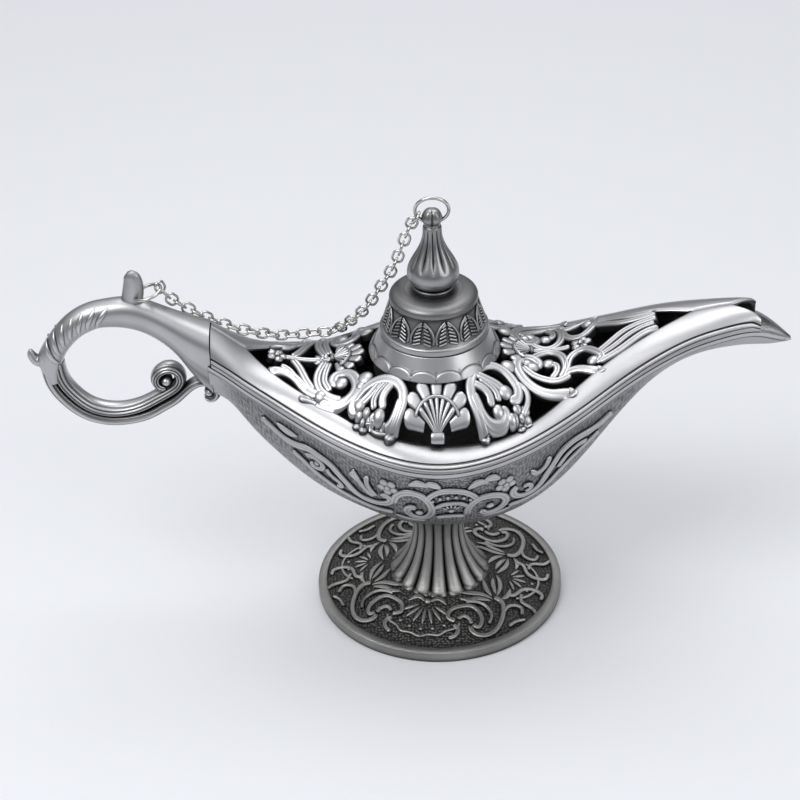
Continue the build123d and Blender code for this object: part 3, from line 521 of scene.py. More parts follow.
# Cover: a moulded rim round the opening, its near and far halves made alike
def rim_grid(side):
    """Half ellipses from the seam up to the opening's edge and back underneath.

    Outwards from the seam the skin has a flat strip, a cut line, a raised bead, a second line and a broad
    band with rounded edges.
    """
    stern, middle = np.linspace(-61.1, -50, 40), np.linspace(-49.7, 72, 330)
    x = np.concatenate([stern, middle, np.linspace(72.3, COVER_END, 60)])[:, None]
    half, seam, _, crown = hull_at(x)
    edge = opening_at(x)
    last = np.arccos(np.clip(edge / half, 0, 0.985))
    turn = np.linspace(0, 1, 300) * last
    run = run_along(half * np.cos(turn), crown * np.sin(turn))
    total = run[:, -1:]
    moulding, band = 3.4, 10.0
    fine = np.concatenate([np.linspace(0, moulding, 30), moulding + np.linspace(0.03, 1, 22) * band])
    squeeze = np.clip(total / 6.5, 0.2, 1)
    on_band = moulding * squeeze + (fine - moulding) / band * (total - moulding * squeeze)
    far = np.where(fine <= moulding, fine * squeeze, on_band)
    d = far / squeeze
    cut, bead, second_cut = 1.25, 2.05, 2.8
    push = -0.22 * dent(d, cut, 0.16) + 0.42 * arch((d - bead) / 0.55) - 0.3 * dent(d, second_cut, 0.2)
    push = push - 0.55 * ramp(total - far, 0.7, 0) ** 2 - 0.25
    band_start = 3.0
    push = push + 0.18 * np.sin(np.pi * ramp(d, band_start, np.maximum(total / squeeze, band_start + 0.1)))
    angle = np.stack([np.interp(f, r, t) for f, r, t in zip(far, run, turn)])
    out_y, out_z = (half + push) * np.cos(angle), (crown + push) * np.sin(angle)
    wall = np.minimum(RIM_THICKNESS, 0.4 * half)
    back = last * np.linspace(1, 0, 10)
    in_y, in_z = np.maximum((half - wall) * np.cos(back), edge), (crown - wall) * np.sin(back)
    ys = side * np.concatenate([out_y, in_y], 1)
    zs = seam + SEAM_GAP + np.maximum(np.concatenate([out_z, in_z], 1), 0)
    tone = 0.9 - 0.4 * dent(d, cut, 0.2) - 0.85 * dent(d, second_cut + 0.05, 0.24)
    tone = tone + 0.15 * dent(d, bead, 0.35) - 0.08 * ramp(d, 1.1, 0)
    worn = np.clip(np.concatenate([tone, np.full(back.shape, 0.12)], 1), 0, 1)
    xs = np.broadcast_to(x, ys.shape)
    return dict(points=np.stack([xs, ys, zs], -1), worn=worn, chart=np.stack([xs, ys], -1), ends=True)


# Places on the near half of the vault in plan, from the collar to the spout and then to the handle:
# width, groove and line of each scroll, radius and centre of each ball
BOW_SCROLLS = [
    (2.5, 0.3, [(13.6, -28.0), (12.2, -25.6), (11.1, -23.3), (9.8, -20.9), (9.2, -17.6), (9.9, -14.4),
        (12.3, -11.4), (15.3, -10.1), (18.5, -11.0), (20.9, -13.7), (22.1, -16.6), (21.4, -18.9),
        (19.4, -19.0)]),
    (2.2, 0.3, [(9.6, -19.0), (11.0, -21.4), (12.3, -23.5), (14.1, -24.7), (16.4, -24.8), (18.3, -23.6),
        (18.4, -22.2), (17.0, -21.9)]),
    (2.0, 0.25, [(9.6, -16.6), (12.6, -17.6), (14.2, -19.2), (14.6, -21.8)]),
    (2.2, 0.3, [(10.6, -13.8), (13.4, -14.8), (16.2, -15.8), (18.4, -17.4)]),
    (1.7, 0.3, [(11.4, -15.0), (14.4, -16.6), (16.2, -18.4), (16.6, -20.4)]),
    (1.5, 0.0, [(21.4, -14.2), (23.6, -15.4), (24.6, -18.7), (22.8, -22.4)]),
    (2.7, 0.3, [(38.4, -18.2), (35.6, -17.2), (32.0, -17.0), (27.8, -15.8), (24.4, -13.0), (22.5, -9.5),
        (22.6, -6.1), (24.3, -3.9), (26.8, -3.9), (28.2, -6.2), (26.8, -7.6)]),
    (2.0, 0.3, [(36.8, -11.6), (33.4, -12.9), (29.9, -12.2), (26.6, -10.6), (23.6, -7.6)]),
    (2.1, 0.3, [(26.4, -4.2), (28.6, -1.8), (31.4, -0.9), (34.2, -2.6), (35.5, -6.2), (35.4, -9.6),
        (33.8, -12.6)]),
    (1.8, 0.25, [(31.0, -6.0), (33.0, -7.2), (33.0, -9.8), (31.2, -12.2)]),
    (2.1, 0.3, [(35.6, -10.6), (36.2, -7.2), (37.7, -4.4), (40.6, -3.3), (43.6, -5.8), (45.2, -9.2),
        (43.4, -10.2)]),
    (2.2, 0.3, [(35.2, -10.6), (38.4, -10.4), (41.8, -11.9), (46.4, -13.2)]),
    (1.9, 0.3, [(44.2, -7.0), (48.0, -4.6), (51.4, -2.4), (55.6, -1.2), (60.8, -0.9)]),
    (1.9, 0.3, [(44.4, -10.2), (49.4, -8.6), (54.0, -6.3), (57.7, -4.8), (61.0, -4.3)]),
    (1.6, 0.3, [(43.8, -8.6), (48.6, -6.8), (52.8, -4.4), (56.8, -3.0), (60.2, -2.6)]),
]
BOW_BALLS = [
    (2.1, (18.5, -17.5)), (1.7, (16.5, -22.4)), (1.5, (20.1, -23.4)), (2.3, (19.9, -8.9)),
    (2.0, (26.6, -7.4)), (1.8, (31.0, -6.1)), (1.7, (42.9, -9.2)), (1.6, (25.2, -6.2)),
]
STERN_SCROLLS = [
    (2.5, 0.3, [(-13.8, -28.2), (-12.0, -25.6), (-10.3, -23.2), (-9.0, -20.6), (-9.3, -17.8), (-11.4, -15.3),
        (-14.7, -13.9), (-18.8, -14.7), (-21.5, -16.9), (-22.6, -19.2), (-21.0, -20.2)]),
    (2.2, 0.3, [(-9.3, -20.0), (-10.8, -23.0), (-12.6, -24.8), (-14.9, -25.2), (-17.0, -24.2),
        (-17.3, -22.8), (-16.0, -22.4)]),
    (2.0, 0.25, [(-11.2, -15.8), (-13.6, -17.6), (-14.5, -19.6), (-14.2, -21.8)]),
    (2.2, 0.3, [(-14.6, -14.4), (-17.0, -16.6), (-19.0, -18.0), (-20.8, -18.8)]),
    (1.7, 0.3, [(-12.8, -15.0), (-15.6, -17.2), (-16.8, -19.2), (-16.6, -21.2)]),
    (2.7, 0.3, [(-37.6, -14.3), (-34.6, -14.4), (-31.6, -15.3), (-27.9, -16.8), (-23.8, -16.6),
        (-21.6, -14.4), (-21.9, -10.7), (-24.5, -7.7), (-27.2, -8.0), (-27.8, -10.2), (-26.0, -11.2)]),
    (2.1, 0.3, [(-25.6, -16.4), (-29.0, -14.6), (-31.6, -12.0), (-32.4, -8.4), (-31.6, -4.6), (-30.2, -1.0)]),
    (1.8, 0.3, [(-28.6, -13.0), (-30.2, -10.0), (-30.0, -6.0), (-29.0, -2.0)]),
    (2.4, 0.3, [(-31.8, -13.6), (-35.6, -11.4), (-39.0, -7.6), (-42.6, -6.2), (-46.4, -6.4)]),
    (2.1, 0.3, [(-33.4, -12.4), (-35.6, -8.4), (-37.2, -4.4), (-39.4, -0.4)]),
    (1.7, 0.3, [(-34.6, -12.2), (-37.8, -9.0), (-40.4, -5.4), (-42.6, -4.2)]),
]
STERN_BALLS = [
    (1.8, (-20.7, -18.9)), (1.8, (-15.6, -22.7)), (2.3, (-19.2, -11.8)), (2.0, (-25.7, -11.0)),
    (1.9, (-31.4, -13.9)), (1.5, (-20.3, -13.9)),
]


def vault_strip(line, width, height, **form):
    """A strip on the vault, sunk through most of its thickness."""
    return strip(vault_surface, line, width, height, sink=VAULT_SINK, **form)


def shell(foot, turn, size):
    """Seven lobes that fan out from a ribbed cup, with an arc round the cup and a bar across its foot."""
    for way, share in zip(range(-69, 70, 23), (0.82, 0.92, 0.98, 1.0, 0.98, 0.92, 0.82)):
        reach = ray(np.radians(turn + way)) * size
        lobe = [foot + reach * 0.30, foot + reach * share]
        yield vault_strip(lobe, size * 0.37, 1.0, form="lobe", groove=0.12, steps=22)
    for way in range(-48, 49, 16):
        reach = ray(np.radians(turn + way)) * size
        yield vault_strip([foot + reach * 0.02, foot + reach * 0.56], size * 0.15, 1.5, form="lobe", steps=16)
    arc = foot + ray(np.radians(turn + np.linspace(-66, 66, 9))) * size * 0.56
    yield vault_strip(arc, size * 0.10, 1.5)
    bar = ray(np.radians(turn + 90)) * size * 0.18
    yield vault_strip([foot - bar, foot + bar], size * 0.13, 1.5, steps=12)


def pattern_grids():
    """Lays every scroll, ball, flower and shell of the vault on both halves."""
    for side in (-1, 1):
        flip = np.array([1.0, -side])
        for width, groove, line in BOW_SCROLLS + STERN_SCROLLS:
            yield vault_strip(line * flip, width * 1.2, 0.95, groove=groove)
        for size, spot in BOW_BALLS + STERN_BALLS:
            yield boss(vault_surface, spot * flip, size, 1.2, sink=VAULT_SINK)
        for spot, size in (((22.7, -22.6), 3.1), ((-20.0, -22.4), 2.9)):
            yield from flower(vault_surface, spot * flip, size, 0.9, sink=VAULT_SINK, turn=90 * side)
        yield from shell((0.0, -26.9) * flip, -90 * side, 11.6)
    for spot, size in (((40.3, 0.0), 2.9), ((-43.6, 0.0), 2.8), ((-31.0, 0.0), 2.8)):
        yield from flower(vault_surface, spot, size, 0.9, sink=VAULT_SINK, turn=0)
    for line in ([(25.5, 0.0), (37.5, 0.0)], [(-29.0, 0.0), (-41.5, 0.0)]):
        yield vault_strip(line, 2.1, 0.8, groove=0.3)
    for foot, turn in ((26.6, 180), (-28.2, 0)):
        yield from shell(np.array([foot, 0.0]), turn, 9.0)


# Collar: a sloping ring whose lower edge is a row of raised round lobes
COLLAR_LOBES, LOBE_FOOT, LOBE_RISE = 16, 83.6, 2.0


def collar_swell(radius, height, wear, angle):
    """Raises the ring below a row of arches and darkens the line along them."""
    u = (angle * COLLAR_LOBES / (2 * np.pi)) % 1 * 2 - 1
    crest = LOBE_FOOT + LOBE_RISE * arch(u * 0.96)
    outside = (radius > 15.0) & (height > 82.8)
    below = 1 / (1 + np.exp((height - crest) / 0.07))
    radius = radius + np.where(outside, 0.42 * below, 0)
    wear = np.where(outside, wear * (1 - 0.88 * dent(height, crest + 0.12, 0.17)), wear)
    cusp = dent(np.abs(u), 1, 0.1) * (height < LOBE_FOOT + LOBE_RISE) * outside
    return radius, height, wear * (1 - 0.5 * cusp)


def collar_grid():
    """Turns the collar: skirt, lobed flange, slope up to the lid's seat, and the bore inside."""
    slope = np.linspace(0, 1, 44)[:, None]
    profile = np.concatenate([
        [(15.2, 76.9), (16.4, 76.9), (17.0, 77.2), (17.15, 80.0), (17.15, 82.4), (17.6, 82.7), (17.8, 83.0)],
        (17.75, 83.2) + slope * (-2.85, 5.6),
        [(14.7, 88.95), (14.3, 89.0), (13.8, 88.9), (13.7, 88.5), (13.7, 83.4), (15.2, 81.1)],
    ])
    skirt, flange, seat = [0.3] * 4, [0.2, 0.25, 0.7], [1.0, 0.8, 0.4, 0.2, 0.1, 0.1]
    worn = np.concatenate([skirt, flange, np.full(len(slope), 0.9), seat])
    return turned(profile, worn, 384, collar_swell, loop=True)


# Lid: dome with leaf palmettes, rounded disc, bead and a lobed bulb that runs into the head
BULB_LOBES = 12
BULB_FOOT, BULB_TOP, HEAD_FOOT = 109.0, 121.2, 121.3


def bulb_swell(radius, height, wear, angle):
    """Twelve lobes on the bulb that fade below its lower third, and two lobes on the head."""
    amount = ramp(height, BULB_FOOT, BULB_FOOT + 3.5) * ramp(height, BULB_TOP, BULB_TOP - 1.5)
    rib = np.abs(np.sin(BULB_LOBES / 2 * angle))
    radius = radius * (1 - amount * 0.15 * (1 - rib ** 0.6))
    wear = wear * (1 - amount * 0.75 * ramp(rib, 1 / 1.6, 0))
    head = ramp(height, HEAD_FOOT, HEAD_FOOT + 0.5)
    split = np.abs(np.cos(angle))
    radius = radius * (1 - head * 0.28 * (1 - ramp(split, 0, 1 / 1.7) ** 0.8))
    return radius, height, wear * (1 - head * 0.6 * (split < 0.16))


def lid_grid():
    """Turns the lid from the head's top down its outside, under the lip, up the spigot and across inside."""
    bulb = bent([
        (0.0, 126.3), (1.6, 126.0), (2.6, 124.6), (2.65, 122.8), (2.2, 121.5), (2.45, 121.2), (2.6, 120.6),
        (2.7, 118.6), (3.2, 116.4), (4.5, 113.5), (6.1, 110.6), (7.0, 108.2), (7.0, 106.4), (6.2, 104.6),
        (5.0, 103.7),
    ], 7)
    disc = bent([
        (4.9, 103.6), (5.6, 103.35), (5.75, 102.9), (5.5, 102.4), (6.4, 102.25), (9.0, 102.0), (10.9, 101.5),
        (12.0, 100.5), (12.15, 99.7), (11.9, 98.8), (11.6, 98.45),
    ], 5)
    dome = [(11.7, 98.3), (11.9, 97.6), (12.6, 95.4), (13.2, 93.4), (13.8, 92.0), (14.1, 91.5)]
    lip = bent([(14.2, 91.3), (14.8, 91.0), (15.0, 90.2), (14.95, 89.3), (14.5, 89.1)], 5)
    spigot = [(13.45, 89.1), (13.45, 86.6), (12.2, 86.5)]
    inside = [(12.2, 90.9), (10.0, 96.0), (8.0, 97.0), (0.0, 97.0)]
    parts = [(bulb, 0.85), (disc, 0.8), (dome, 0.55), (lip, 0.95), (spigot, 0.1), (inside, 0.1)]
    profile = np.concatenate([part for part, _ in parts])
    z = profile[:, 1]
    lines = [(0.8, 103.65, 0.2), (0.7, 98.4, 0.3), (0.7, 102.35, 0.15), (0.6, 121.4, 0.18)]
    dark = sum(share * dent(z, place, width) for share, place, width in lines)
    worn = np.concatenate([np.full(len(part), tone) for part, tone in parts]) * (1 - dark)
    worn = worn * np.where((z > 99.5) & (z < 102.2), 0.62, 1)
    return turned(profile, np.clip(worn, 0, 1), 288, bulb_swell)


# One side of a leaf: distance out from its middle line and height
PALMETTE = [(2.8, 91.9), (3.1, 94.0), (1.9, 96.6), (0.0, 98.2)]
LEAF_COUNT, VEIN_COUNT, VEIN_PITCH = 12, 6, 0.95


def palmettes():
    """Twelve pointed leaves round the dome, each two outlines with slanting veins between them."""
    girth = DOME_MEAN * 2 * np.pi
    for i in range(LEAF_COUNT):
        mid = girth * (i + 0.5) / LEAF_COUNT
        for hand in (-1, 1):
            outline = [(mid + hand * out, height) for out, height in PALMETTE]
            yield strip(dome_surface, outline, 0.75, 0.5, steps=16)
            for k in range(VEIN_COUNT):
                low, reach = PALMETTE[0][1] + VEIN_PITCH * k, 2.7 * (1 - (k / (VEIN_COUNT + 1)) ** 2)
                vein = [(mid + hand * reach, low - 0.1), (mid + hand * 0.1, low + 0.85)]
                yield strip(dome_surface, vein, 0.62, 0.5, steps=8)


# Foot: rim, sunk beaded face and fluted stem, with scrolls laid round a shell in front and behind
FOOT_TURN, FLUTES = np.radians(-13.2), 16


def flutes(radius, height, wear, angle):
    """Sixteen round flutes with dark grooves, whose feet end as round tips on the sunk face."""
    rib = np.abs(np.sin(FLUTES / 2 * (angle - FOOT_TURN)))
    on = ramp(height, 6.3, 6.9) * (radius > 6.5)
    depth = np.clip(0.17 - 0.05 * (height - 6) / 10, 0.1, 0.2)
    radius = radius * (1 - on * depth * (1 - rib ** 0.55))
    return radius, height, np.where(on > 0, wear * (0.12 + 0.88 * np.clip(rib * 1.5 - 0.15, 0, 1)), wear)


def foot_grid():
    """Turns the foot from the stem's top down to the face, over the rim and back through its hollow."""
    stem = bent([
        (8.9, 29.95), (8.1, 28.2), (7.5, 25.6), (7.35, 22.6), (7.7, 19.6), (8.5, 16.4), (9.8, 13.2),
        (11.6, 10.2), (13.4, 8.0), (14.2, 7.0), (14.3, 6.4),
    ], 6)
    across = np.linspace(14.6, 32.9, 50)
    face = np.stack([across, np.interp(across, FACE_RADII, FACE_HEIGHTS)], -1)
    rim = [(33.15, 2.75), (33.3, 3.2), (33.55, 3.4), (34.2, 3.45), (35.2, 3.4), (35.75, 3.1), (35.95, 2.5),
           (35.98, 1.4), (35.95, 0.4), (35.7, 0.0)]
    rim_worn = [0.15, 0.4, 0.8, 0.72, 0.78, 0.85, 0.8, 0.78, 0.75, 0.5]
    hollow = [(33.6, 0.0), (31.2, 0.0), (28.8, 1.5), (15.0, 4.0), (10.6, 6.2), (5.2, 15.9), (4.7, 18.1),
              (0.0, 18.1)]
    parts = [([(0.0, 29.9)], 0.5, 0.0), (stem, 1.0, 0.0), (face, 0.1, 1.0), (rim, rim_worn, 0.0),
             (hollow, 0.1, 0.0)]
    profile = np.concatenate([part for part, _, _ in parts])
    worn = np.concatenate([np.broadcast_to(tone, len(part)) for part, tone, _ in parts])
    ground = np.concatenate([np.full((len(part), 1), beaded) for part, _, beaded in parts])
    return turned(profile, worn, 384, flutes, ground=ground)


# Places on a quarter of the face in plan: width and line of each scroll, and the line of each leaf
FOOT_RIDGES = [
    (1.3, [(4.1, -23.6), (2.0, -22.1), (2.6, -19.7), (5.5, -18.2), (8.9, -18.0), (11.2, -20.6),
        (11.5, -23.6), (10.3, -25.5), (8.9, -24.4)]),
    (1.5, [(8.1, -25.0), (9.0, -27.3), (11.8, -28.4), (15.2, -26.4), (17.4, -21.9), (18.0, -18.7),
        (17.2, -15.0), (15.3, -14.0)]),
    (1.0, [(13.4, -24.1), (14.5, -21.0), (13.7, -18.6), (11.4, -16.6), (7.0, -16.6)]),
    (1.1, [(18.0, -19.4), (20.5, -16.5), (22.9, -16.8), (23.2, -20.0)]),
    (1.2, [(4.6, -22.8), (6.4, -21.6), (8.0, -22.6), (8.6, -24.6)]),
    (1.2, [(18.8, -12.1), (21.2, -12.4), (23.8, -9.8), (26.9, -9.1), (29.6, -11.0), (29.1, -13.4)]),
    (1.1, [(23.7, -11.3), (23.5, -14.7), (26.3, -16.9), (27.4, -19.6)]),
    (1.3, [(3.2, -24.6), (4.6, -26.2), (4.0, -28.2), (1.6, -29.6)]),
    (1.0, [(19.2, -24.8), (21.6, -22.6), (24.4, -21.8)]),
]
FOOT_LEAVES = [
    [(15.3, -14.6), (12.0, -13.1), (8.1, -12.9), (4.2, -12.0)], [(11.8, -16.6), (8.5, -15.7), (5.1, -14.9)],
    [(14.9, -13.4), (13.1, -10.1), (12.6, -6.6)], [(16.3, -13.2), (17.5, -9.0), (16.5, -4.2)],
    [(14.6, -15.2), (11.0, -14.8), (8.0, -15.0)], [(16.2, -12.4), (15.4, -8.8), (15.6, -5.6)],
    [(17.4, -14.4), (19.6, -12.4), (20.4, -9.4)], [(-3.2, -14.0), (-3.0, -11.8), (-2.8, -9.4)],
    [(-2.6, -14.6), (-1.6, -13.2), (-0.8, -11.8)], [(-3.2, -16.4), (-0.8, -15.2), (1.7, -17.6)],
]


def fan(hub, ahead, aside, angles, reach, width, height, steps, knob):
    """Lays leaves out from a hub, each with a small dome (distance, radius, height) beyond its tip."""
    for angle in np.radians(angles):
        way = ahead * np.cos(angle) + aside * np.sin(angle)
        leaf = [hub + way * reach[0], hub + way * reach[1]]
        yield strip(foot_surface, leaf, width, height, form="leaf", steps=steps)
        yield boss(foot_surface, hub + way * knob[0], *knob[1:])


def foot_relief():
    """Lays the scrolls beside each of the foot's two shells, and two small shells between them."""
    front = ray(FOOT_TURN - np.pi / 2)
    aside = np.array([-front[1], front[0]])
    for half in (1, -1):
        for hand in (1, -1):
            mirror = half * (np.outer(front, front) + hand * np.outer(aside, aside))
            for width, line in FOOT_RIDGES:
                yield strip(foot_surface, np.dot(line, mirror), width * 1.15, 0.85, groove=0.2)
            for line in FOOT_LEAVES:
                yield strip(foot_surface, np.dot(line, mirror), 1.7, 0.65, form="leaf", groove=0.2)
        ahead, across = half * front, half * aside
        hub, side_hub = ahead * 16.4, across * 20.5
        yield boss(foot_surface, hub, 1.1, 0.9)
        yield from fan(hub, ahead, across, range(-60, 61, 20), (2.4, 8.2), 1.2, 0.55, 14, (10.0, 0.62, 0.65))
        a = np.radians(np.linspace(-62, 62, 15))[:, None]
        edge = hub + (np.cos(a) * ahead + np.sin(a) * across) * (12.2 + 0.35 * np.cos(a * 14))
        yield strip(foot_surface, edge, 1.0, 0.6)
        yield from fan(side_hub, across, ahead, range(-60, 61, 30), (1.4, 5.6), 1.1, 0.5, 12, (7.2, 0.6, 0.6))
        a = np.radians(np.linspace(-66, 66, 11))[:, None]
        yield strip(foot_surface, side_hub + (np.cos(a) * across + np.sin(a) * ahead) * 9.0, 1.0, 0.6)


# Handle: neck and arch, two strands with volutes, horn and curled leaf
# The neck's eggs: x, height, lean in degrees, half width, reach above and below
NECK = [
    (-61.4, 83.4, 0, 7.6, 9.1, 12.4), (-67.4, 87.1, 4, 6.2, 8.2, 10.0), (-72.3, 91.4, 9, 5.0, 6.5, 7.2),
    (-78.8, 95.5, 9, 4.2, 5.3, 5.3), (-88.0, 97.1, 0, 3.8, 4.1, 4.1), (-94.0, 95.9, 18, 3.75, 3.85, 3.85),
    (-98.9, 92.9, 38, 3.7, 3.6, 3.6), (-105.0, 85.3, 68, 3.6, 3.4, 3.4), (-106.0, 80.0, 90, 3.4, 3.2, 3.2),
    (-105.6, 76.0, 98, 3.0, 2.2, 2.2),
]
INNER_STRAND = [
    (-104.4, 82.0), (-103.6, 76.6), (-100.6, 71.4), (-96.4, 67.4), (-91.0, 65.6), (-85.8, 65.9),
    (-81.0, 67.6), (-76.8, 70.0), (-73.2, 72.2), (-70.9, 74.9), (-71.4, 77.9), (-73.8, 79.0), (-76.3, 78.0),
    (-77.6, 75.6), (-76.6, 73.2), (-74.6, 72.8),
]
OUTER_STRAND = [
    (-107.4, 82.0), (-106.6, 75.6), (-103.3, 69.6), (-97.8, 64.6), (-91.0, 62.5), (-85.2, 62.8),
    (-80.0, 64.3), (-76.0, 66.6), (-72.5, 68.8), (-68.6, 72.4), (-64.6, 74.3), (-61.6, 73.0), (-60.9, 70.4),
    (-62.6, 68.8), (-64.6, 69.6),
]
# The ovals of the horn and of the curled leaf: x, height, size
HORN = [
    (-81.9, 98.0, 3.3), (-81.7, 101.0, 3.0), (-81.2, 103.8, 2.9), (-81.0, 106.6, 2.6), (-81.6, 109.9, 1.7),
]
CURLED_LEAF = [
    (-104.0, 85.6, 2.7), (-107.4, 82.9, 2.3), (-109.6, 82.4, 1.8), (-111.0, 83.8, 1.3), (-111.3, 86.0, 0.9),
]
NECK_STEPS = 110
RIB_COUNT, FIRST_RIB, RIB_PITCH = 7, 58, 5.6


def in_plane(x, y, z, worn, ends=True):
    """A casting of the handle, whose chart is its side view."""
    points = np.stack([x, y, z], -1)
    return dict(points=points, worn=np.clip(worn, 0, 1), chart=points[..., [0, 2]], ends=ends)


def carried(path, y, n, worn):
    """Carries an outline along a path in the middle plane: n leads out of the path and y across the plane."""
    out = left_of(path)
    return in_plane(path[:, 0:1] + out[:, 0:1] * n, y, path[:, 1:2] + out[:, 1:2] * n, worn)


def neck_grid():
    """Eggs in planes across the neck's line, each point carried smoothly from one egg to the next."""
    x, z, lean, half, above, below = smooth_line(NECK, NECK_STEPS).T[..., None]
    lean = np.radians(lean)
    turn = whole_turn(56)
    up = np.sin(turn)
    t = np.linspace(0, 1, NECK_STEPS)[:, None]
    ridge = 1 - 0.05 * np.cos(4 * turn) * np.clip(1 - t * 2.2, 0, 1)
    reach = np.where(up > 0, above, below) * up * ridge
    worn = 0.88 - 0.25 * (up < -0.2) * np.clip(1 - t * 2, 0, 1)
    worn = worn - 0.6 * dent(turn % np.pi, 0.5, 0.06) * np.clip(1 - t * 3, 0, 1)
    return in_plane(x - np.sin(lean) * reach, half * np.cos(turn) * ridge, z + np.cos(lean) * reach, worn)


def strand(line, half_width, half_thick, shrink, lines):
    """Carries a flattened oval along a line in the middle plane, with grooves that run along its sides."""
    t = np.linspace(0, 1, 170)[:, None]
    turn = whole_turn(48)
    dip = sum(dent(np.abs(np.sin(turn)), at, 0.11) for at in lines)
    size = (1 - shrink * t ** 2) * np.sqrt(ramp(t, 1, 0.98))
    bulk = 1 - 0.13 * dip
    y = half_width * (0.6 + 0.4 * size) * np.cos(turn) * bulk * np.clip(size * 3, 0, 1)
    return carried(smooth_line(line, len(t)), y, half_thick * size * np.sin(turn) * bulk, 0.95 - 0.85 * dip)


def lobes(places, flatten):
    """Blends ovals of given size along a line in the middle plane into one rounded lobe."""
    rows = smooth_line(places, 40)
    full = rows[:, 2:3]
    t = np.linspace(0, 1, len(rows))[:, None]
    turn = whole_turn(32)
    size = full * ramp(t, 1, 0.88) ** 0.45
    y = flatten * (0.5 * full + 0.5 * size) * np.cos(turn) * np.clip(size * 4, 0, 1)
    return carried(rows[:, :2], y, size * np.sin(turn), 0.95 - 0.3 * np.abs(np.sin(turn)))


def ball(x, z, radius, half_width):
    """A ball stretched across the handle: a circle turned about its middle, wider along y."""
    polar, turn = np.linspace(0, np.pi, 15)[:, None], whole_turn(28)
    ring = radius * np.sin(polar)
    y = half_width * np.cos(polar) + 0 * turn
    worn = 0.35 + 0.7 * np.abs(np.cos(polar))
    return in_plane(x + ring * np.cos(turn), y, z + ring * np.sin(turn), worn, ends=False)


def neck_side(hand):
    """Gives one side of the arch as a function of steps along its line and the angle up from its side."""
    line = smooth_line([row[:2] for row in NECK], NECK_STEPS)
    sizes = smooth_line(NECK, NECK_STEPS)[:, 3:]

    def surface(chart):
        i = np.clip(chart[..., 0], 0, NECK_STEPS - 1.1)
        k = i.astype(int)
        f = (i - k)[..., None]
        centre = line[k] * (1 - f) + line[k + 1] * f
        way = unit(line[k + 1] - line[k])
        size = sizes[k] * (1 - f) + sizes[k + 1] * f
        n = size[..., 1] * np.sin(chart[..., 1])
        y = hand * size[..., 0] * np.cos(chart[..., 1])
        return np.stack([centre[..., 0] + way[..., 1] * n, y, centre[..., 1] - way[..., 0] * n], -1)
    return surface


def rib_on(surface, line, width, height):
    """A raised leaf rib along a line on a skin whose chart has unlike scales, offset along the skin."""
    path = smooth_line(line, 20)
    centre = surface(path)
    tangent = unit(np.gradient(centre, axis=0))
    normal = unit(np.cross(surface(path + [0.2, 0]) - centre, surface(path + [0, 0.02]) - centre))
    normal *= np.sign(normal[:, 1:2] * centre[:, 1:2] + 1e-9)
    across = np.cross(normal, tangent)
    swell = np.sin(np.pi * np.linspace(0, 1, len(path)))[:, None] ** 0.7
    turn = np.linspace(0, np.pi, 9)
    offset, rise = np.append(np.cos(turn), [-0.8, 0.8]), np.append(np.sin(turn) ** 0.8, [-0.8, -0.8])
    aside, lift = offset * swell * width / 2, rise * height * np.where(rise > 0, swell, 1)
    points = centre[:, None] + across[:, None] * aside[..., None] + normal[:, None] * lift[..., None]
    return in_plane(*np.moveaxis(points, -1, 0), 0.15 + np.clip(rise, 0, 1))


def handle_grids():
    """All the handle's castings: neck, strands, balls, horn, leaf and the slanting ribs on the arch."""
    yield neck_grid()
    yield strand(INNER_STRAND, 3.0, 2.1, 0.32, (0.25, 0.75))
    yield strand(OUTER_STRAND, 3.0, 1.75, 0.35, (0.45,))
    yield ball(-74.7, 74.9, 1.7, 2.6)
    yield ball(-63.0, 70.9, 1.5, 2.4)
    yield lobes(HORN, 0.62)
    yield lobes(CURLED_LEAF, 1.0)
    for hand in (-1, 1):
        skin = neck_side(hand)
        for at in FIRST_RIB + RIB_PITCH * np.arange(RIB_COUNT):
            line = [(at - 5.0, 1.25), (at - 2.4, 0.6), (at + 1.6, -0.1), (at + 5.0, -0.9)]
            yield rib_on(skin, line, 1.5, 0.6)


# Pieces
piece("bowl_skin", [bowl_grid()], "lamp", relief, ["bowl"])
piece("bowl_scrolls", bowl_relief(), "lamp", satin)
piece("moulded_rim", [rim_grid(-1), rim_grid(1)], "lamp", satin, ["cover_rim"])
piece("pierced_pattern", pattern_grids(), "lamp", satin, ["cover_filigree"])
piece("lobed_collar", [collar_grid()], "lamp", satin, ["cover_collar"])
piece("turned_lid", [lid_grid()], "lid", lid_metal, ["lid"])
piece("lid_palmettes", palmettes(), "lid", lid_metal)
piece("fluted_foot", [foot_grid()], "lamp", aged, ["foot"])
piece("foot_scrolls", foot_relief(), "lamp", aged)
piece("scrolled_handle", handle_grids(), "lamp", satin, ["handle"])

finishes = {"foot_washer": plated, "foot_screw": plated, "foot_pad": felt}
for name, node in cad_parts.items():
    if name.startswith("chain_link") or name.endswith("_ring"):
        finishes[name] = chain_steel
    if name in finishes:
        node.data.materials.clear()
        node.data.materials.append(finishes[name])

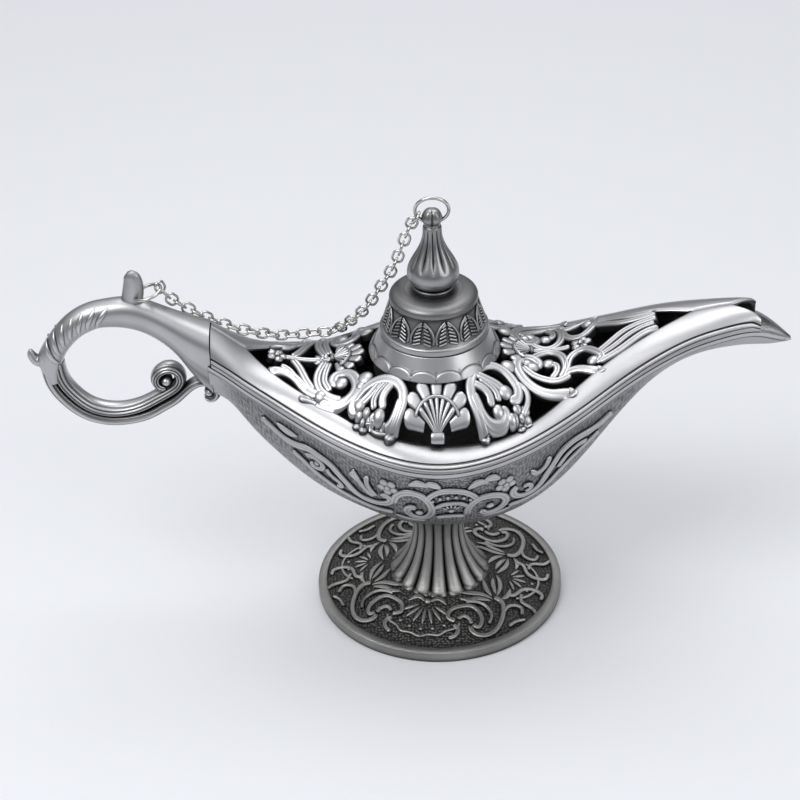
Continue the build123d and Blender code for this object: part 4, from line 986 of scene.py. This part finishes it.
# Studio: pale floor that fades to white, soft lamps, and the camera of the photograph
floor_mesh = bpy.data.meshes.new("floor")
floor_mesh.from_pydata([(-4, -4, 0), (4, -4, 0), (4, 4, 0), (-4, 4, 0)], [], [(0, 1, 2, 3)])
floor = bpy.data.objects.new("floor", floor_mesh)
bpy.context.scene.collection.objects.link(floor)
pale, tree, shader = new_material("pale_floor")
fill(tree, shader, {"Base Color": (0.86, 0.87, 0.90, 1), "Roughness": 0.7})
far_off = add(tree, "VectorMath", "Value", {0: add(tree, "TexCoord", "Object")}, operation="LENGTH")
fade_out = add(tree, "MapRange", "Result", {"Value": far_off, "From Min": 0.3, "From Max": 1.2},
               interpolation_type="SMOOTHSTEP")
only_seen = multiply(tree, fade_out, add(tree, "LightPath", "Is Camera Ray"))
white = add(tree, "Emission", "Emission", {"Color": (0.92, 0.93, 0.96, 1)})
faded = add(tree, "MixShader", "Shader", {"Fac": only_seen, 1: shader.outputs["BSDF"], 2: white})
fill(tree, tree.nodes["Material Output"], {"Surface": faded})
floor_mesh.materials.append(pale)

# The world is soft light for the metal, walls that brighten upwards in reflections, and white where seen
world = bpy.data.worlds.new("studio")
bpy.context.scene.world = world
world.use_nodes = True
tree = world.node_tree
fill(tree, tree.nodes["Background"], {"Color": (0.93, 0.95, 1.0, 1), "Strength": 0.42})
height = add(tree, "SeparateXYZ", "Z", {"Vector": add(tree, "TexCoord", "Generated")})
climb = add(tree, "MapRange", "Result", {
    "Value": height, "From Min": 0.05, "From Max": 0.9, "To Min": 0.16, "To Max": 1.0},
    interpolation_type="SMOOTHSTEP")
walls = add(tree, "Background", "Background", {"Color": (0.95, 0.96, 1.0, 1), "Strength": climb})
backdrop = add(tree, "Background", "Background", {"Color": (0.90, 0.91, 0.95, 1), "Strength": 1.0})
soft = tree.nodes["Background"].outputs["Background"]
reflected = add(tree, "LightPath", "Is Glossy Ray")
with_walls = add(tree, "MixShader", "Shader", {"Fac": reflected, 1: soft, 2: walls})
seen = add(tree, "Math", "Value", {
    0: add(tree, "LightPath", "Is Camera Ray"), 1: add(tree, "LightPath", "Is Transmission Ray")},
    operation="MAXIMUM")
blend = add(tree, "MixShader", "Shader", {"Fac": seen, 1: with_walls, 2: backdrop})
fill(tree, tree.nodes["World Output"], {"Surface": blend})


def stand(made, columns, place):
    """Puts a lamp or camera into the scene, its own three axes given as columns."""
    bpy.context.scene.collection.objects.link(made)
    rows = [(*row, at) for row, at in zip(np.stack(columns, 1), place)]
    made.matrix_world = Matrix([*rows, (0, 0, 0, 1)])


def soft_box(name, place, size, power):
    """Hangs a square soft lamp that faces the middle of the lamp."""
    light = bpy.data.lights.new(name, "AREA")
    light.size, light.energy = size, power
    back = unit(np.array(place) - (0, 0, 0.07))
    right = unit(np.cross([0, 0, 1], back))
    stand(bpy.data.objects.new(name, light), [right, np.cross(back, right), back], place)


soft_box("key_box", (-0.45, -0.35, 0.75), 0.5, 3.6)
soft_box("fill_box", (0.65, -0.45, 0.45), 0.5, 1.6)
soft_box("top_box", (0.05, 0.35, 0.85), 0.6, 2.4)

pitch, yaw, roll = np.radians([33.78, -0.59, -1.88])
forward = np.array([np.sin(yaw) * np.cos(pitch), np.cos(yaw) * np.cos(pitch), -np.sin(pitch)])
level = np.array([np.cos(yaw), -np.sin(yaw), 0])
above = np.cross(level, forward)
right, up = np.cos(roll) * level + np.sin(roll) * above, np.cos(roll) * above - np.sin(roll) * level
eye = bpy.data.cameras.new("photo_view")
eye.lens, eye.sensor_width = 94.5, 36
camera = bpy.data.objects.new("photo_view", eye)
stand(camera, [right, up, -forward], (-0.0050, -0.4891, 0.3930))
bpy.context.scene.camera = camera
bpy.context.scene.view_settings.view_transform = "Standard"
